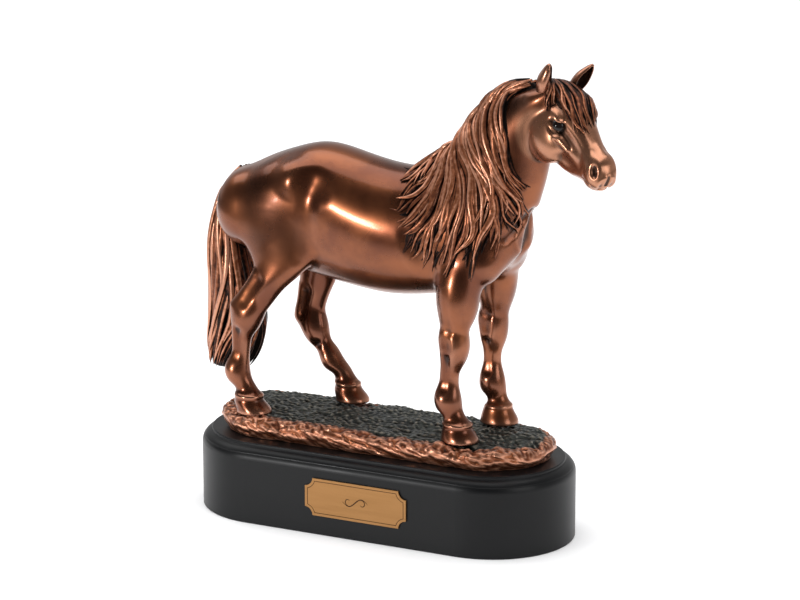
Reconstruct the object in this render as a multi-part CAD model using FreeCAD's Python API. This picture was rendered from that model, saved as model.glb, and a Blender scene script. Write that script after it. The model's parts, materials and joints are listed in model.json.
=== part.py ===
"""A cast bronze pony standing on a rocky turf casting, mounted on a hollow oval plinth with a name plate.

Frame: millimetres, +Z up, origin on the floor under the middle of the plinth, +X the way the pony faces.
The pony's right side, where the mane falls and the name plate sits, is -Y. One STEP file is written
for each piece.
"""

import FreeCAD
import Part
import math
import os

V = FreeCAD.Vector

# ---------------------------------------------------------------- driving dimensions, mm
PLINTH_LENGTH = 240.0
PLINTH_WIDTH = 100.0
PLINTH_HEIGHT = 48.8
WALL_HEIGHT = 39.8  # straight part of the side, below the rounded shoulder
SHOULDER_RADIUS = 7.1
TIER_RADIUS = 44.0  # edge of the raised top tier, from the oval's core line
BOARD_JOINT_Z = 43.5  # glue line between the plinth body and its moulded top board
JOINT_NICK = 0.35  # half the width of the fine groove along the glue line
SHOULDER_RISE = 6.9  # how far up the rounded shoulder goes
BODY_EDGE_BREAK = 0.6  # small chamfer round the plinth's bottom edge
TIER_EDGE_ROUND = 0.8
PLINTH_WALL = 12.0
CHAMBER_ROOF_Z = 34.0
COVER_THICKNESS = 5.0
COVER_RECESS = 1.6  # the cover's face lies this far above the floor
LEDGE = 6.0  # width of the step that the cover closes on

GROUND_RADIUS = 38.0  # rim of the turf casting, from the core line
GROUND_FOOT_RADIUS = 34.0
GROUND_TOP_Z = 62.2

CORE = (PLINTH_LENGTH - PLINTH_WIDTH) / 2  # half the straight part of every oval
WALL_RADIUS = PLINTH_WIDTH / 2
MID_Y = 1.5  # the pony's middle plane
SHELL = 4.5  # wall of the hollow body casting
EYE_RADIUS = 3.2

PLATE_LENGTH = 67.0
PLATE_HEIGHT = 23.0
PLATE_THICKNESS = 0.8
PLATE_NOTCH = 5.0  # radius of the scooped corners
PLATE_X = 5.0
PLATE_Z = 23.8
PLATE_ENGRAVING = 0.15  # depth of everything engraved
PLATE_BORDER = (1.5, 1.9)  # the engraved line runs between these distances from the edge
TAPE_THICKNESS = 0.4

BOLT_X = 45.0  # the bolts that hold the turf casting, on the long axis
BOLT_RADIUS = 2.5
BOLT_HEAD_RADIUS = 4.8
BOLT_HEAD_HEIGHT = 3.4
WASHER_THICKNESS = 1.0
WASHER_RADIUS = 7.0
INSERT_RADIUS = 3.5
INSERT_LENGTH = 8.5
COVER_SCREW_X = 62.0
COVER_SCREW_RADIUS = 1.6
HOOF_DOWEL_RADIUS = 1.5
LEG_DOWEL_RADIUS = 2.0

# The head's own axes: down the face, out of the face, and towards the pony's left.
POLL = V(114.5, -6.0, 278.4)
HEAD_TURN = math.radians(-33.5)  # the head is turned to the pony's right
HEAD_DROP = math.radians(36.0)  # the face slopes this far below level
HEAD_AHEAD = V(math.cos(HEAD_TURN), math.sin(HEAD_TURN), 0)
DOWN_FACE = HEAD_AHEAD * math.cos(HEAD_DROP) - V(0, 0, math.sin(HEAD_DROP))
OUT_OF_FACE = HEAD_AHEAD * math.sin(HEAD_DROP) + V(0, 0, math.cos(HEAD_DROP))
HEAD_LEFT = V(-math.sin(HEAD_TURN), math.cos(HEAD_TURN), 0)

# Each leg: the y of its hoof, then rings of z, x, half-depth, half-width and sideways shift from that y.
LEGS = {
    "foreleg_right": (
        -21.0,
        [
            (172, 56.5, 14, 8, 5),
            (161, 56.8, 13.6, 9.5, 3),
            (150, 56.6, 11.8, 9.5, 1.4),
            (137, 56.2, 10.1, 8, 0.8),
            (127.5, 55.2, 8.4, 6.8, 0),
            (118, 54.9, 7.7, 7, 0),
            (110.5, 53.8, 6.9, 6.2, 0),
            (103.5, 52.4, 6.1, 5, 0),
            (94.5, 51.7, 6.4, 5, 0),
            (85.5, 52, 7.3, 6.2, 0),
            (76.5, 55.6, 6.7, 5.7, 0),
            (72.5, 57, 8.6, 7.5, 0),
            (68.5, 57.7, 10, 8.6, 0),
            (GROUND_TOP_Z, 58.6, 11.3, 9.6, 0),
        ],
    ),
    "foreleg_left": (
        25.0,
        [
            (172, 60.5, 14, 8, -7),
            (161, 61.5, 13.5, 9.5, -4),
            (150, 61.3, 11.4, 9, -2),
            (140.5, 60.1, 9.6, 8, -1),
            (131, 59.4, 8.4, 7, 0),
            (121.5, 58.7, 7.6, 6.8, 0),
            (112, 58.6, 6.9, 6.4, 0),
            (105, 58.4, 5.8, 5, 0),
            (97.5, 58.4, 5.5, 4.8, 0),
            (88.5, 59.2, 6.5, 5.6, 0),
            (82.5, 59.6, 7.2, 6.2, 0),
            (74.5, 62.8, 6.5, 5.7, 0),
            (71.5, 62.9, 8.4, 7.4, 0),
            (67.5, 62.9, 10, 8.6, 0),
            (GROUND_TOP_Z, 63.6, 11.3, 9.6, 0),
        ],
    ),
    "hindleg_right": (
        -22.5,
        [
            (190, -70, 18, 6, 8),
            (176, -63, 20, 9, 5),
            (163, -58, 19.5, 10.5, 3),
            (150, -63, 15.8, 9.5, 1),
            (142, -68.5, 12.6, 8.2, 0),
            (135, -73.5, 11.8, 7, 0),
            (128.5, -79.6, 12.8, 6.6, 0),
            (122, -82.8, 10.6, 6.6, 0),
            (115, -84.9, 7.8, 6, 0),
            (104, -86.6, 5.9, 5, 0),
            (95, -87.5, 5.6, 4.8, 0),
            (86, -88.6, 6.7, 6, 0),
            (80.5, -86.8, 6.3, 5.8, 0),
            (76, -83.8, 6.5, 5.8, 0),
            (71.5, -82.4, 8.9, 7.6, 0),
            (GROUND_TOP_Z, -79, 10.6, 9.4, 0),
        ],
    ),
    "hindleg_left": (
        26.0,
        [
            (190, -68, 18, 6, -8),
            (176, -61, 20, 9, -5),
            (163, -54, 19, 10.5, -3),
            (150, -56, 15, 9.5, -1),
            (138, -59.5, 12.4, 8.2, 0),
            (127.5, -62.2, 10.2, 7, 0),
            (119, -64.4, 9.2, 6.6, 0),
            (111.5, -65.8, 9, 6.6, 0),
            (103.5, -62.6, 7.6, 6, 0),
            (95.5, -57, 6.5, 5.2, 0),
            (88, -51, 6.3, 5, 0),
            (82, -45.4, 6.6, 6, 0),
            (77.5, -41.8, 6.2, 5.8, 0),
            (73.5, -39.6, 7.4, 6.4, 0),
            (69, -38.6, 9.1, 7.8, 0),
            (GROUND_TOP_Z, -36.6, 10.4, 9.4, 0),
        ],
    ),
}

# The outline of the hanging mane as seen from the side, x and z: up the crest, down the front, and back.
MANE_OUTLINE = [
    (20, 216),
    (34, 230),
    (46, 243),
    (58, 258),
    (74, 270),
    (90, 280),
    (106, 281),
    (102, 269),
    (87, 261),
    (84, 243),
    (90, 226),
    (98, 212),
    (96, 200),
    (94, 190),
    (82, 176),
    (64, 160),
    (46, 165),
    (30, 163),
    (22, 184),
    (21, 202),
]
MANE_THICKNESS = 5.5

RING_POINTS = 14


# ---------------------------------------------------------------- helpers
def head_point(down, out, left=0.0):
    """A point given in the head's own axes, measured from the poll."""
    return POLL + DOWN_FACE * down + OUT_OF_FACE * out + HEAD_LEFT * left


def ring(centre, across, along):
    """A closed smooth ellipse-like wire with the two given half-axes, which are vectors."""
    points = []
    for i in range(RING_POINTS):
        turn = 2 * math.pi * i / RING_POINTS
        points.append(centre + across * math.cos(turn) + along * math.sin(turn))
    curve = Part.BSplineCurve()
    curve.interpolate(Points=points, PeriodicFlag=True)
    return Part.Wire([curve.toShape()])


def skin(rings):
    """A smooth closed solid through the rings."""
    solid = Part.makeLoft(rings, True, False, False, 3)
    if solid.Volume < 0:
        solid.reverse()
    return solid


def cylinder(start, end, radius):
    """A round bar from start to end."""
    return Part.makeCylinder(radius, (end - start).Length, start, end - start)


def oval(radius, low, high):
    """An upright oval block: every point within radius of the core line."""
    block = Part.makeBox(2 * CORE, 2 * radius, high - low, V(-CORE, -radius, low))
    for x in (-CORE, CORE):
        block = block.fuse(Part.makeCylinder(radius, high - low, V(x, 0, low)))
    return block.removeSplitter()


def oval_turned(edges, low, high):
    """An oval block with a moulded side. edges run from (radius, low) up to (radius, high)."""
    start = edges[0].valueAt(edges[0].FirstParameter)
    end = edges[-1].valueAt(edges[-1].LastParameter)
    closing = [
        Part.makeLine(end, V(0, 0, high)),
        Part.makeLine(V(0, 0, high), V(0, 0, low)),
        Part.makeLine(V(0, 0, low), start),
    ]
    half = Part.Face(Part.Wire(edges + closing))
    solid = None
    for x, turn in ((CORE, -90), (-CORE, 90)):
        section = half.copy()
        section.rotate(V(0, 0, 0), V(0, 0, 1), turn)
        section.translate(V(x, 0, 0))
        end_solid = section.revolve(V(x, 0, 0), V(0, 0, 1), 180)
        straight = section.extrude(V(-2 * x, 0, 0))
        for piece in (end_solid, straight):
            solid = piece if solid is None else solid.fuse(piece)
    return solid.removeSplitter()


def line(a, b):
    """A straight edge between two (radius, z) points of a moulding."""
    return Part.makeLine(V(a[0], 0, a[1]), V(b[0], 0, b[1]))


def arc(a, through, b):
    """A round edge through three (radius, z) points of a moulding."""
    return Part.Arc(*[V(p[0], 0, p[1]) for p in (a, through, b)]).toShape()


def biggest(shape):
    """The largest solid of a cut, without the slivers that a cut can leave."""
    return max(shape.Solids, key=lambda s: s.Volume)


def export(name, *solids):
    """Writes one node. A group node holds its solids side by side."""
    for solid in solids:
        if not solid.isValid() or solid.Volume <= 0:
            raise ValueError(f"{name} holds a bad solid")
    shape = solids[0] if len(solids) == 1 else Part.makeCompound(list(solids))
    shape.exportStep(os.path.join("parts", name + ".step"))


# ---------------------------------------------------------------- the pony's body
def torso_form(shrink=0.0):
    """The barrel, rump and breast. shrink gives the smaller form of the hollow inside."""
    stations = [  # x, top z, bottom z, half-width
        (-108, 190, 173, 6),
        (-104, 201, 163, 14),
        (-95, 209, 155, 21),
        (-78, 217, 150, 27),
        (-60, 224.5, 148, 30),
        (-43, 228, 146.5, 31),
        (-20, 225, 143.5, 31.5),
        (5, 219.5, 141, 32.5),
        (30, 219, 143, 31.5),
        (50, 220, 149, 29),
        (68, 214, 156, 26),
        (82, 204, 165, 21),
        (90, 196, 175, 13),
    ]
    rings = []
    for x, top, bottom, half_width in stations:
        half_height = (top - bottom) / 2
        if half_width < 3 * shrink:
            continue
        centre = V(x, MID_Y, (top + bottom) / 2)
        rings.append(ring(centre, V(0, half_width - shrink, 0), V(0, 0, half_height - shrink)))
    return skin(rings)


def neck_form(shrink=0.0):
    """The neck, from inside the breast up to the back of the head."""
    stations = [  # x, y, z, lean of the neck's axis from level (degrees), half-depth, half-width
        (52, 1.5, 189, 68, 33, 22),
        (61, 1.5, 202, 58, 34, 20),
        (71.5, 1.0, 217, 52, 32, 17.5),
        (82.2, -1.0, 235.2, 49, 29, 15),
        (93.4, -4.0, 251.6, 45, 24.5, 13),
        (102.7, -7.0, 262.5, 40, 20, 11.5),
        (111, -8.5, 269, 36, 13, 9),
    ]
    rings = []
    for x, y, z, lean, half_depth, half_width in stations:
        if half_width < 3 * shrink:
            continue
        tilt = math.radians(lean)
        depth = V(math.sin(tilt), 0, -math.cos(tilt))
        rings.append(ring(V(x, y, z), V(0, half_width - shrink, 0), depth * (half_depth - shrink)))
    return skin(rings)


def head_form():
    """The skull, cheeks and muzzle."""
    stations = [  # down the face, face side, jaw side, half-width
        (-3, -6, -20, 7),
        (4, -1, -30, 11.5),
        (12, 1, -37, 12.5),
        (22, 1.8, -40.5, 13.2),
        (31, 1, -39, 12),
        (39, -0.5, -33.5, 10),
        (47, -2, -26.5, 8.4),
        (55, -2, -23.5, 8.4),
        (61, -2, -23.5, 9),
        (66, -4, -21.5, 7.5),
        (69.5, -8, -16, 3.5),
    ]
    rings = []
    for down, face, jaw, half_width in stations:
        centre = head_point(down, (face + jaw) / 2)
        rings.append(ring(centre, HEAD_LEFT * half_width, OUT_OF_FACE * ((face - jaw) / 2)))
    return skin(rings)


def ear_form(base, tip):
    """One pricked ear between two points given in the head's own axes."""
    base = head_point(*base)
    axis = head_point(*tip) - base
    across = (HEAD_LEFT - DOWN_FACE * 0.5).normalize()
    depth = axis.cross(across).normalize()
    rings = []
    for share, half_width, half_depth in ((0, 5.2, 3.6), (0.35, 5.0, 3.4), (0.7, 3.6, 2.4), (1, 1.0, 0.8)):
        rings.append(ring(base + axis * share, across * half_width, depth * half_depth))
    return skin(rings)


def leg_form(name):
    """A leg from rings at several heights, from inside the body down to the hoof."""
    y, stations = LEGS[name]
    rings = []
    for z, x, half_depth, half_width, shift in stations:
        rings.append(ring(V(x, y + shift, z), V(0, half_width, 0), V(half_depth, 0, 0)))
    return skin(rings)


def tail_form():
    """The tail, from the dock down to just above the turf."""
    stations = [  # z, rear x, front x, half-width
        (205, -106, -97, 5),
        (196, -113, -101, 7.5),
        (182, -120, -105, 9),
        (165, -124, -106, 10.5),
        (145, -125, -101, 11.5),
        (127, -124.5, -89, 11),
        (110, -124.5, -83, 10.5),
        (95, -124, -86, 10.5),
        (86, -123.5, -93, 9.5),
        (80.5, -121, -102, 6),
    ]
    rings = []
    for z, rear, front, half_width in stations:
        centre = V((rear + front) / 2, MID_Y + 2.0, z)
        rings.append(ring(centre, V(0, half_width, 0), V((front - rear) / 2, 0, 0)))
    return skin(rings)


def mane_form():
    """A thick skin of hair over the right of the neck and shoulder, up to and over the crest."""
    curve = Part.BSplineCurve()
    curve.interpolate(Points=[V(x, 8, z) for x, z in MANE_OUTLINE], PeriodicFlag=True)
    curtain = Part.Face(Part.Wire([curve.toShape()])).extrude(V(0, -60, 0))
    return neck_form(-MANE_THICKNESS).fuse(torso_form(-MANE_THICKNESS)).common(curtain)


def forelock_form():
    """The forelock, from between the ears down the forehead."""
    rings = []
    stations = [  # down the face, out of it, half-width, half-depth
        (-5, -2, 7, 3.5),
        (4, 0, 11, 3.5),
        (14, 1.5, 12.5, 3),
        (26, 2, 10, 2.4),
        (38, 0.5, 5, 1.6),
    ]
    for down, out, half_width, half_depth in stations:
        rings.append(ring(head_point(down, out), HEAD_LEFT * half_width, OUT_OF_FACE * half_depth))
    return skin(rings)


# ---------------------------------------------------------------- the base
def on_shoulder(z):
    """The (radius, z) point of the rounded shoulder at a height."""
    rise = z - WALL_HEIGHT
    return WALL_RADIUS - SHOULDER_RADIUS + math.sqrt(SHOULDER_RADIUS**2 - rise**2), z


def joint_point():
    """The bottom of the fine groove along the glue line."""
    return on_shoulder(BOARD_JOINT_Z - JOINT_NICK)[0] - JOINT_NICK, BOARD_JOINT_Z


def plinth_body():
    """The hollow body of the plinth, with a stepped opening below for the cover."""
    top_outer = on_shoulder(BOARD_JOINT_Z - JOINT_NICK)
    edges = [
        line((WALL_RADIUS - BODY_EDGE_BREAK, 0), (WALL_RADIUS, BODY_EDGE_BREAK)),
        line((WALL_RADIUS, BODY_EDGE_BREAK), (WALL_RADIUS, WALL_HEIGHT)),
        arc((WALL_RADIUS, WALL_HEIGHT), on_shoulder((WALL_HEIGHT + BOARD_JOINT_Z) / 2), top_outer),
        line(top_outer, joint_point()),
    ]
    body = oval_turned(edges, 0, BOARD_JOINT_Z)
    chamber_radius = WALL_RADIUS - PLINTH_WALL
    body = body.cut(oval(chamber_radius, -1, CHAMBER_ROOF_Z))
    body = body.cut(oval(chamber_radius + LEDGE, -1, COVER_RECESS + COVER_THICKNESS))
    for x in (-BOLT_X, BOLT_X):
        body = body.cut(cylinder(V(x, 0, CHAMBER_ROOF_Z - 1), V(x, 0, BOARD_JOINT_Z + 1), BOLT_RADIUS + 0.25))
    for x, y in cover_screw_places():
        top = COVER_RECESS + COVER_THICKNESS + 9.0
        body = body.cut(cylinder(V(x, y, COVER_RECESS), V(x, y, top), COVER_SCREW_RADIUS))
    return biggest(body)


def plinth_top():
    """The moulded top board, glued on the body."""
    low_outer = on_shoulder(BOARD_JOINT_Z + JOINT_NICK)
    shoulder_end = on_shoulder(WALL_HEIGHT + SHOULDER_RISE)
    tier_foot = (TIER_RADIUS, shoulder_end[1] + 0.3)
    tier_edge_low = (TIER_RADIUS, PLINTH_HEIGHT - TIER_EDGE_ROUND)
    corner = TIER_EDGE_ROUND * (1 - math.sqrt(0.5))
    tier_edge_middle = (TIER_RADIUS - corner, PLINTH_HEIGHT - corner)
    edges = [
        line(joint_point(), low_outer),
        arc(low_outer, on_shoulder(BOARD_JOINT_Z + 2.0), shoulder_end),
        line(shoulder_end, tier_foot),
        line(tier_foot, tier_edge_low),
        arc(tier_edge_low, tier_edge_middle, (TIER_RADIUS - TIER_EDGE_ROUND, PLINTH_HEIGHT)),
    ]
    board = oval_turned(edges, BOARD_JOINT_Z, PLINTH_HEIGHT)
    for x in (-BOLT_X, BOLT_X):
        hole = cylinder(V(x, 0, BOARD_JOINT_Z - 1), V(x, 0, PLINTH_HEIGHT + 1), BOLT_RADIUS + 0.25)
        board = board.cut(hole)
    return biggest(board)


def cover_screw_places():
    """Where the four cover screws go, in the middle of the ledge."""
    y = WALL_RADIUS - PLINTH_WALL + LEDGE / 2
    return [(x * COVER_SCREW_X, side * y) for x in (-1, 1) for side in (-1, 1)]


def bottom_cover():
    """The flat cover that closes the chamber, with countersunk holes."""
    radius = WALL_RADIUS - PLINTH_WALL + LEDGE - 0.3
    cover = oval(radius, COVER_RECESS, COVER_RECESS + COVER_THICKNESS)
    for x, y in cover_screw_places():
        low = V(x, y, COVER_RECESS)
        hole_radius = COVER_SCREW_RADIUS + 0.1
        cover = cover.cut(cylinder(low - V(0, 0, 1), low + V(0, 0, COVER_THICKNESS + 1), hole_radius))
        cover = cover.cut(Part.makeCone(3.1, hole_radius, 1.8, low))
    return biggest(cover)


def cover_screws():
    """Four countersunk wood screws, each with a cross slot in its head."""
    screws = []
    for x, y in cover_screw_places():
        low = V(x, y, COVER_RECESS)
        screw = Part.makeCone(3.0, COVER_SCREW_RADIUS, 1.7, low)
        screw = screw.fuse(cylinder(low + V(0, 0, 1.7), low + V(0, 0, 11), COVER_SCREW_RADIUS - 0.05))
        screw = screw.fuse(Part.makeCone(COVER_SCREW_RADIUS - 0.05, 0.3, 2.5, low + V(0, 0, 11)))
        for length, width in ((3.4, 0.7), (0.7, 3.4)):
            slot = Part.makeBox(length, width, 0.9, low - V(length / 2, width / 2, 0.1))
            screw = screw.cut(slot)
        screws.append(biggest(screw))
    return screws


def felt_pad():
    """The felt under the cover, inside the row of screws."""
    return oval(WALL_RADIUS - PLINTH_WALL - 1.0, 0, COVER_RECESS)


def ground_casting():
    """The turf casting: an undercut foot, a rough rim and a flat-topped mound."""
    rim = GROUND_RADIUS
    edges = [
        line((GROUND_FOOT_RADIUS, PLINTH_HEIGHT), (GROUND_FOOT_RADIUS, PLINTH_HEIGHT + 1.6)),
        line((GROUND_FOOT_RADIUS, PLINTH_HEIGHT + 1.6), (rim - 0.8, PLINTH_HEIGHT + 2.2)),
        arc((rim - 0.8, PLINTH_HEIGHT + 2.2), (rim, PLINTH_HEIGHT + 5.0), (rim - 0.9, PLINTH_HEIGHT + 8.2)),
        arc((rim - 0.9, PLINTH_HEIGHT + 8.2), (rim - 5.0, PLINTH_HEIGHT + 10.8), (rim - 13.0, GROUND_TOP_Z)),
    ]
    ground = oval_turned(edges, PLINTH_HEIGHT, GROUND_TOP_Z)
    for x in (-BOLT_X, BOLT_X):
        pocket_top = PLINTH_HEIGHT + INSERT_LENGTH + 0.5
        ground = ground.cut(cylinder(V(x, 0, PLINTH_HEIGHT - 1), V(x, 0, pocket_top), INSERT_RADIUS))
    for name in LEGS:
        ground = ground.cut(hoof_dowel(name))
    return biggest(ground)


def name_plate_outline(inset=0.0):
    """The plate's outline with scooped corners, as a face in the XZ plane, drawn in by inset."""
    scoop = PLATE_NOTCH + inset
    reach = math.sqrt(scoop**2 - inset**2)
    middle = scoop * math.sqrt(0.5)
    arcs = []
    for sx, sz, upright_first in ((-1, -1, True), (1, -1, False), (1, 1, True), (-1, 1, False)):
        corner = V(PLATE_X + sx * PLATE_LENGTH / 2, 0, PLATE_Z + sz * PLATE_HEIGHT / 2)
        ends = [corner - V(sx * inset, 0, sz * reach), corner - V(sx * reach, 0, sz * inset)]
        if not upright_first:
            ends.reverse()
        arcs.append((ends[0], corner - V(sx * middle, 0, sz * middle), ends[1]))
    edges = []
    for here, following in zip(arcs, arcs[1:] + arcs[:1]):
        edges.append(Part.Arc(*here).toShape())
        edges.append(Part.makeLine(here[2], following[0]))
    return Part.Face(Part.Wire(edges))


def engraved_stroke(points, half_width):
    """A cutter for one engraved line through (x, z) points round the plate's middle, with pointed ends."""
    left, right = [], []
    for i, (x, z) in enumerate(points):
        before = points[max(i - 1, 0)]
        after = points[min(i + 1, len(points) - 1)]
        run = math.hypot(after[0] - before[0], after[1] - before[1])
        aside = ((before[1] - after[1]) / run, (after[0] - before[0]) / run)
        wide = half_width * (0.15 + 0.85 * math.sin(math.pi * i / (len(points) - 1)))
        left.append(V(PLATE_X + x + aside[0] * wide, 0, PLATE_Z + z + aside[1] * wide))
        right.append(V(PLATE_X + x - aside[0] * wide, 0, PLATE_Z + z - aside[1] * wide))
    sides = []
    for side in (left, right[::-1]):
        curve = Part.BSplineCurve()
        curve.interpolate(side)
        sides.append(curve.toShape())
    ends = [Part.makeLine(left[-1], right[-1]), Part.makeLine(right[0], left[0])]
    return Part.Face(Part.Wire([sides[0], ends[0], sides[1], ends[1]])).extrude(V(0, -1, 0))


def flourish_cutters():
    """A plain ornament, the same when turned half round: a long S curve with a curl at each side of it."""
    wave = [(-8.5 + i, 2.6 * math.sin(2 * math.pi * (i - 8.5) / 17)) for i in range(18)]
    cutters = [engraved_stroke(wave, 0.38)]
    for side in (-1, 1):
        curl = []
        for i in range(11):
            turn = math.radians(-150 + 30 * i)
            reach = 2.9 - 0.19 * i
            curl.append((side * (4.4 + reach * math.cos(turn)), side * (-0.2 - reach * math.sin(turn))))
        cutters.append(engraved_stroke(curl, 0.3))
    return cutters


def name_plate():
    """The metal plate, with a fine engraved line round its edge and an ornament in its middle."""
    plate = name_plate_outline().extrude(V(0, -PLATE_THICKNESS, 0))
    groove = name_plate_outline(PLATE_BORDER[0]).extrude(V(0, -1, 0))
    groove = groove.cut(name_plate_outline(PLATE_BORDER[1]).extrude(V(0, -1, 0)))
    for cutter in [groove] + flourish_cutters():
        cutter.translate(V(0, -PLATE_THICKNESS + PLATE_ENGRAVING, 0))
        plate = plate.cut(cutter)
    plate = biggest(plate)
    plate.translate(V(0, -WALL_RADIUS - TAPE_THICKNESS, 0))
    return plate


def plate_tape():
    """The adhesive pad behind the plate."""
    half_x, half_z = PLATE_LENGTH / 2 - PLATE_NOTCH - 0.5, PLATE_HEIGHT / 2 - 1.5
    corner = V(PLATE_X - half_x, -WALL_RADIUS - TAPE_THICKNESS, PLATE_Z - half_z)
    return Part.makeBox(2 * half_x, TAPE_THICKNESS, 2 * half_z, corner)


def ground_bolts():
    """Two pan-head machine screws, from the chamber up into the turf casting."""
    bolts = []
    head_top = CHAMBER_ROOF_Z - WASHER_THICKNESS
    head_low = head_top - BOLT_HEAD_HEIGHT
    for x in (-BOLT_X, BOLT_X):
        head = cylinder(V(x, 0, head_low), V(x, 0, head_top), BOLT_HEAD_RADIUS)
        rim = [edge for edge in head.Edges if edge.BoundBox.ZMax < head_low + 0.1]
        bolt = cylinder(V(x, 0, head_top), V(x, 0, PLINTH_HEIGHT + 7.5), BOLT_RADIUS)
        bolt = bolt.fuse(head.makeFillet(1.4, rim))
        for length, width in ((5.0, 1.0), (1.0, 5.0)):
            slot = Part.makeBox(length, width, 1.6, V(x - length / 2, -width / 2, head_low - 0.1))
            bolt = bolt.cut(slot)
        bolts.append(biggest(bolt))
    return bolts


def bolt_washers():
    """A flat washer under each bolt head."""
    washers = []
    low = CHAMBER_ROOF_Z - WASHER_THICKNESS
    for x in (-BOLT_X, BOLT_X):
        washer = cylinder(V(x, 0, low), V(x, 0, CHAMBER_ROOF_Z), WASHER_RADIUS)
        hole = cylinder(V(x, 0, low - 1), V(x, 0, CHAMBER_ROOF_Z + 1), BOLT_RADIUS + 0.2)
        washers.append(washer.cut(hole))
    return washers


def threaded_inserts():
    """A brass insert for each bolt, set in the underside of the turf casting."""
    inserts = []
    top = PLINTH_HEIGHT + INSERT_LENGTH
    for x in (-BOLT_X, BOLT_X):
        insert = cylinder(V(x, 0, PLINTH_HEIGHT), V(x, 0, top), INSERT_RADIUS)
        inserts.append(insert.cut(cylinder(V(x, 0, PLINTH_HEIGHT - 1), V(x, 0, top + 1), BOLT_RADIUS)))
    return inserts


# ---------------------------------------------------------------- pins between the castings
def hoof_dowel(name):
    """The pin that goes from a hoof into the turf casting."""
    y, stations = LEGS[name]
    x = stations[-1][1] - 1.5
    return cylinder(V(x, y, GROUND_TOP_Z - 7), V(x, y, GROUND_TOP_Z + 8), HOOF_DOWEL_RADIUS)


def leg_dowel_places():
    """The ends of the dowel that locates each leg on the body casting."""
    return {
        "foreleg_right": (V(56.0, -19.0, 143), V(54.0, -16.0, 165)),
        "foreleg_left": (V(61.0, 22.0, 143), V(59.0, 17.0, 165)),
        "hindleg_right": (V(-62.0, -21.0, 143), V(-60.0, -15.0, 165)),
        "hindleg_left": (V(-56.0, 24.0, 143), V(-55.0, 17.0, 165)),
    }


# ---------------------------------------------------------------- assembly
def build():
    """Makes every piece, cuts the castings to meet each other, and writes the files."""
    os.makedirs("parts", exist_ok=True)
    torso_outer = torso_form()
    neck_outer = neck_form()
    head = head_form()
    neck_hollow = neck_form(SHELL)
    legs = {name: leg_form(name) for name in LEGS}
    leg_dowels = {name: cylinder(a, b, LEG_DOWEL_RADIUS) for name, (a, b) in leg_dowel_places().items()}
    hoof_dowels = {name: hoof_dowel(name) for name in LEGS}
    tail_dowel = cylinder(V(-112, MID_Y, 181), V(-98, MID_Y, 186), LEG_DOWEL_RADIUS)

    torso = torso_outer.cut(torso_form(SHELL)).cut(neck_hollow)
    for dowel in leg_dowels.values():
        torso = torso.cut(dowel)
    export("torso_casting", biggest(torso.cut(tail_dowel)))

    neck = neck_outer.cut(torso_outer).cut(head).cut(neck_hollow)
    export("neck_casting", biggest(neck))

    ears = {
        "right": ear_form((-0.5, -5.0, -10.0), (-2.0, 14.5, -11.5)),
        "left": ear_form((-0.5, -5.0, 10.5), (-1.5, 13.5, 15.5)),
    }
    eyes = {
        "right": Part.makeSphere(EYE_RADIUS, head_point(24.0, -7.8, -10.6)),
        "left": Part.makeSphere(EYE_RADIUS, head_point(24.0, -7.8, 10.6)),
    }
    for side, eye in eyes.items():
        head = head.cut(eye)
        export("eye_" + side, eye)
    head = biggest(head)
    export("head_casting", head)
    ears = {side: biggest(ear.cut(head).cut(neck_outer)) for side, ear in ears.items()}
    for side, ear in ears.items():
        export("ear_" + side, ear)

    for name, leg in legs.items():
        leg = leg.cut(torso_outer).cut(leg_dowels[name]).cut(hoof_dowels[name])
        legs[name] = biggest(leg)
        export(name, legs[name])
    export("leg_dowels", *leg_dowels.values())
    export("hoof_dowels", *hoof_dowels.values())

    tail = tail_form().cut(torso_outer).cut(legs["hindleg_right"]).cut(legs["hindleg_left"]).cut(tail_dowel)
    export("tail", biggest(tail))
    export("tail_dowel", tail_dowel)

    mane = mane_form().cut(torso_outer).cut(neck_outer).cut(head)
    for ear in ears.values():
        mane = mane.cut(ear)
    mane = mane.cut(legs["foreleg_right"])
    export("mane", biggest(mane))
    forelock = forelock_form().cut(head).cut(neck_outer).cut(biggest(mane))
    for ear in ears.values():
        forelock = forelock.cut(ear)
    export("forelock", biggest(forelock))

    export("ground_casting", ground_casting())
    export("plinth_top", plinth_top())
    export("plinth_body", plinth_body())
    export("bottom_cover", bottom_cover())
    export("cover_screws", *cover_screws())
    export("felt_pad", felt_pad())
    export("name_plate", name_plate())
    export("plate_tape", plate_tape())
    export("ground_bolts", *ground_bolts())
    export("bolt_washers", *bolt_washers())
    export("threaded_inserts", *threaded_inserts())


build()
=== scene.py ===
"""Looks for the bronze pony statue: sculpted castings, hair, rocky turf, materials, light and camera.

The sculpting is done in millimetres in the row frame: +X the way the pony faces, +Y its left, +Z up.
Each casting is a signed distance field made of simple forms that melt into each other, skinned on a grid.
"""

import json
import math
import random

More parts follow.
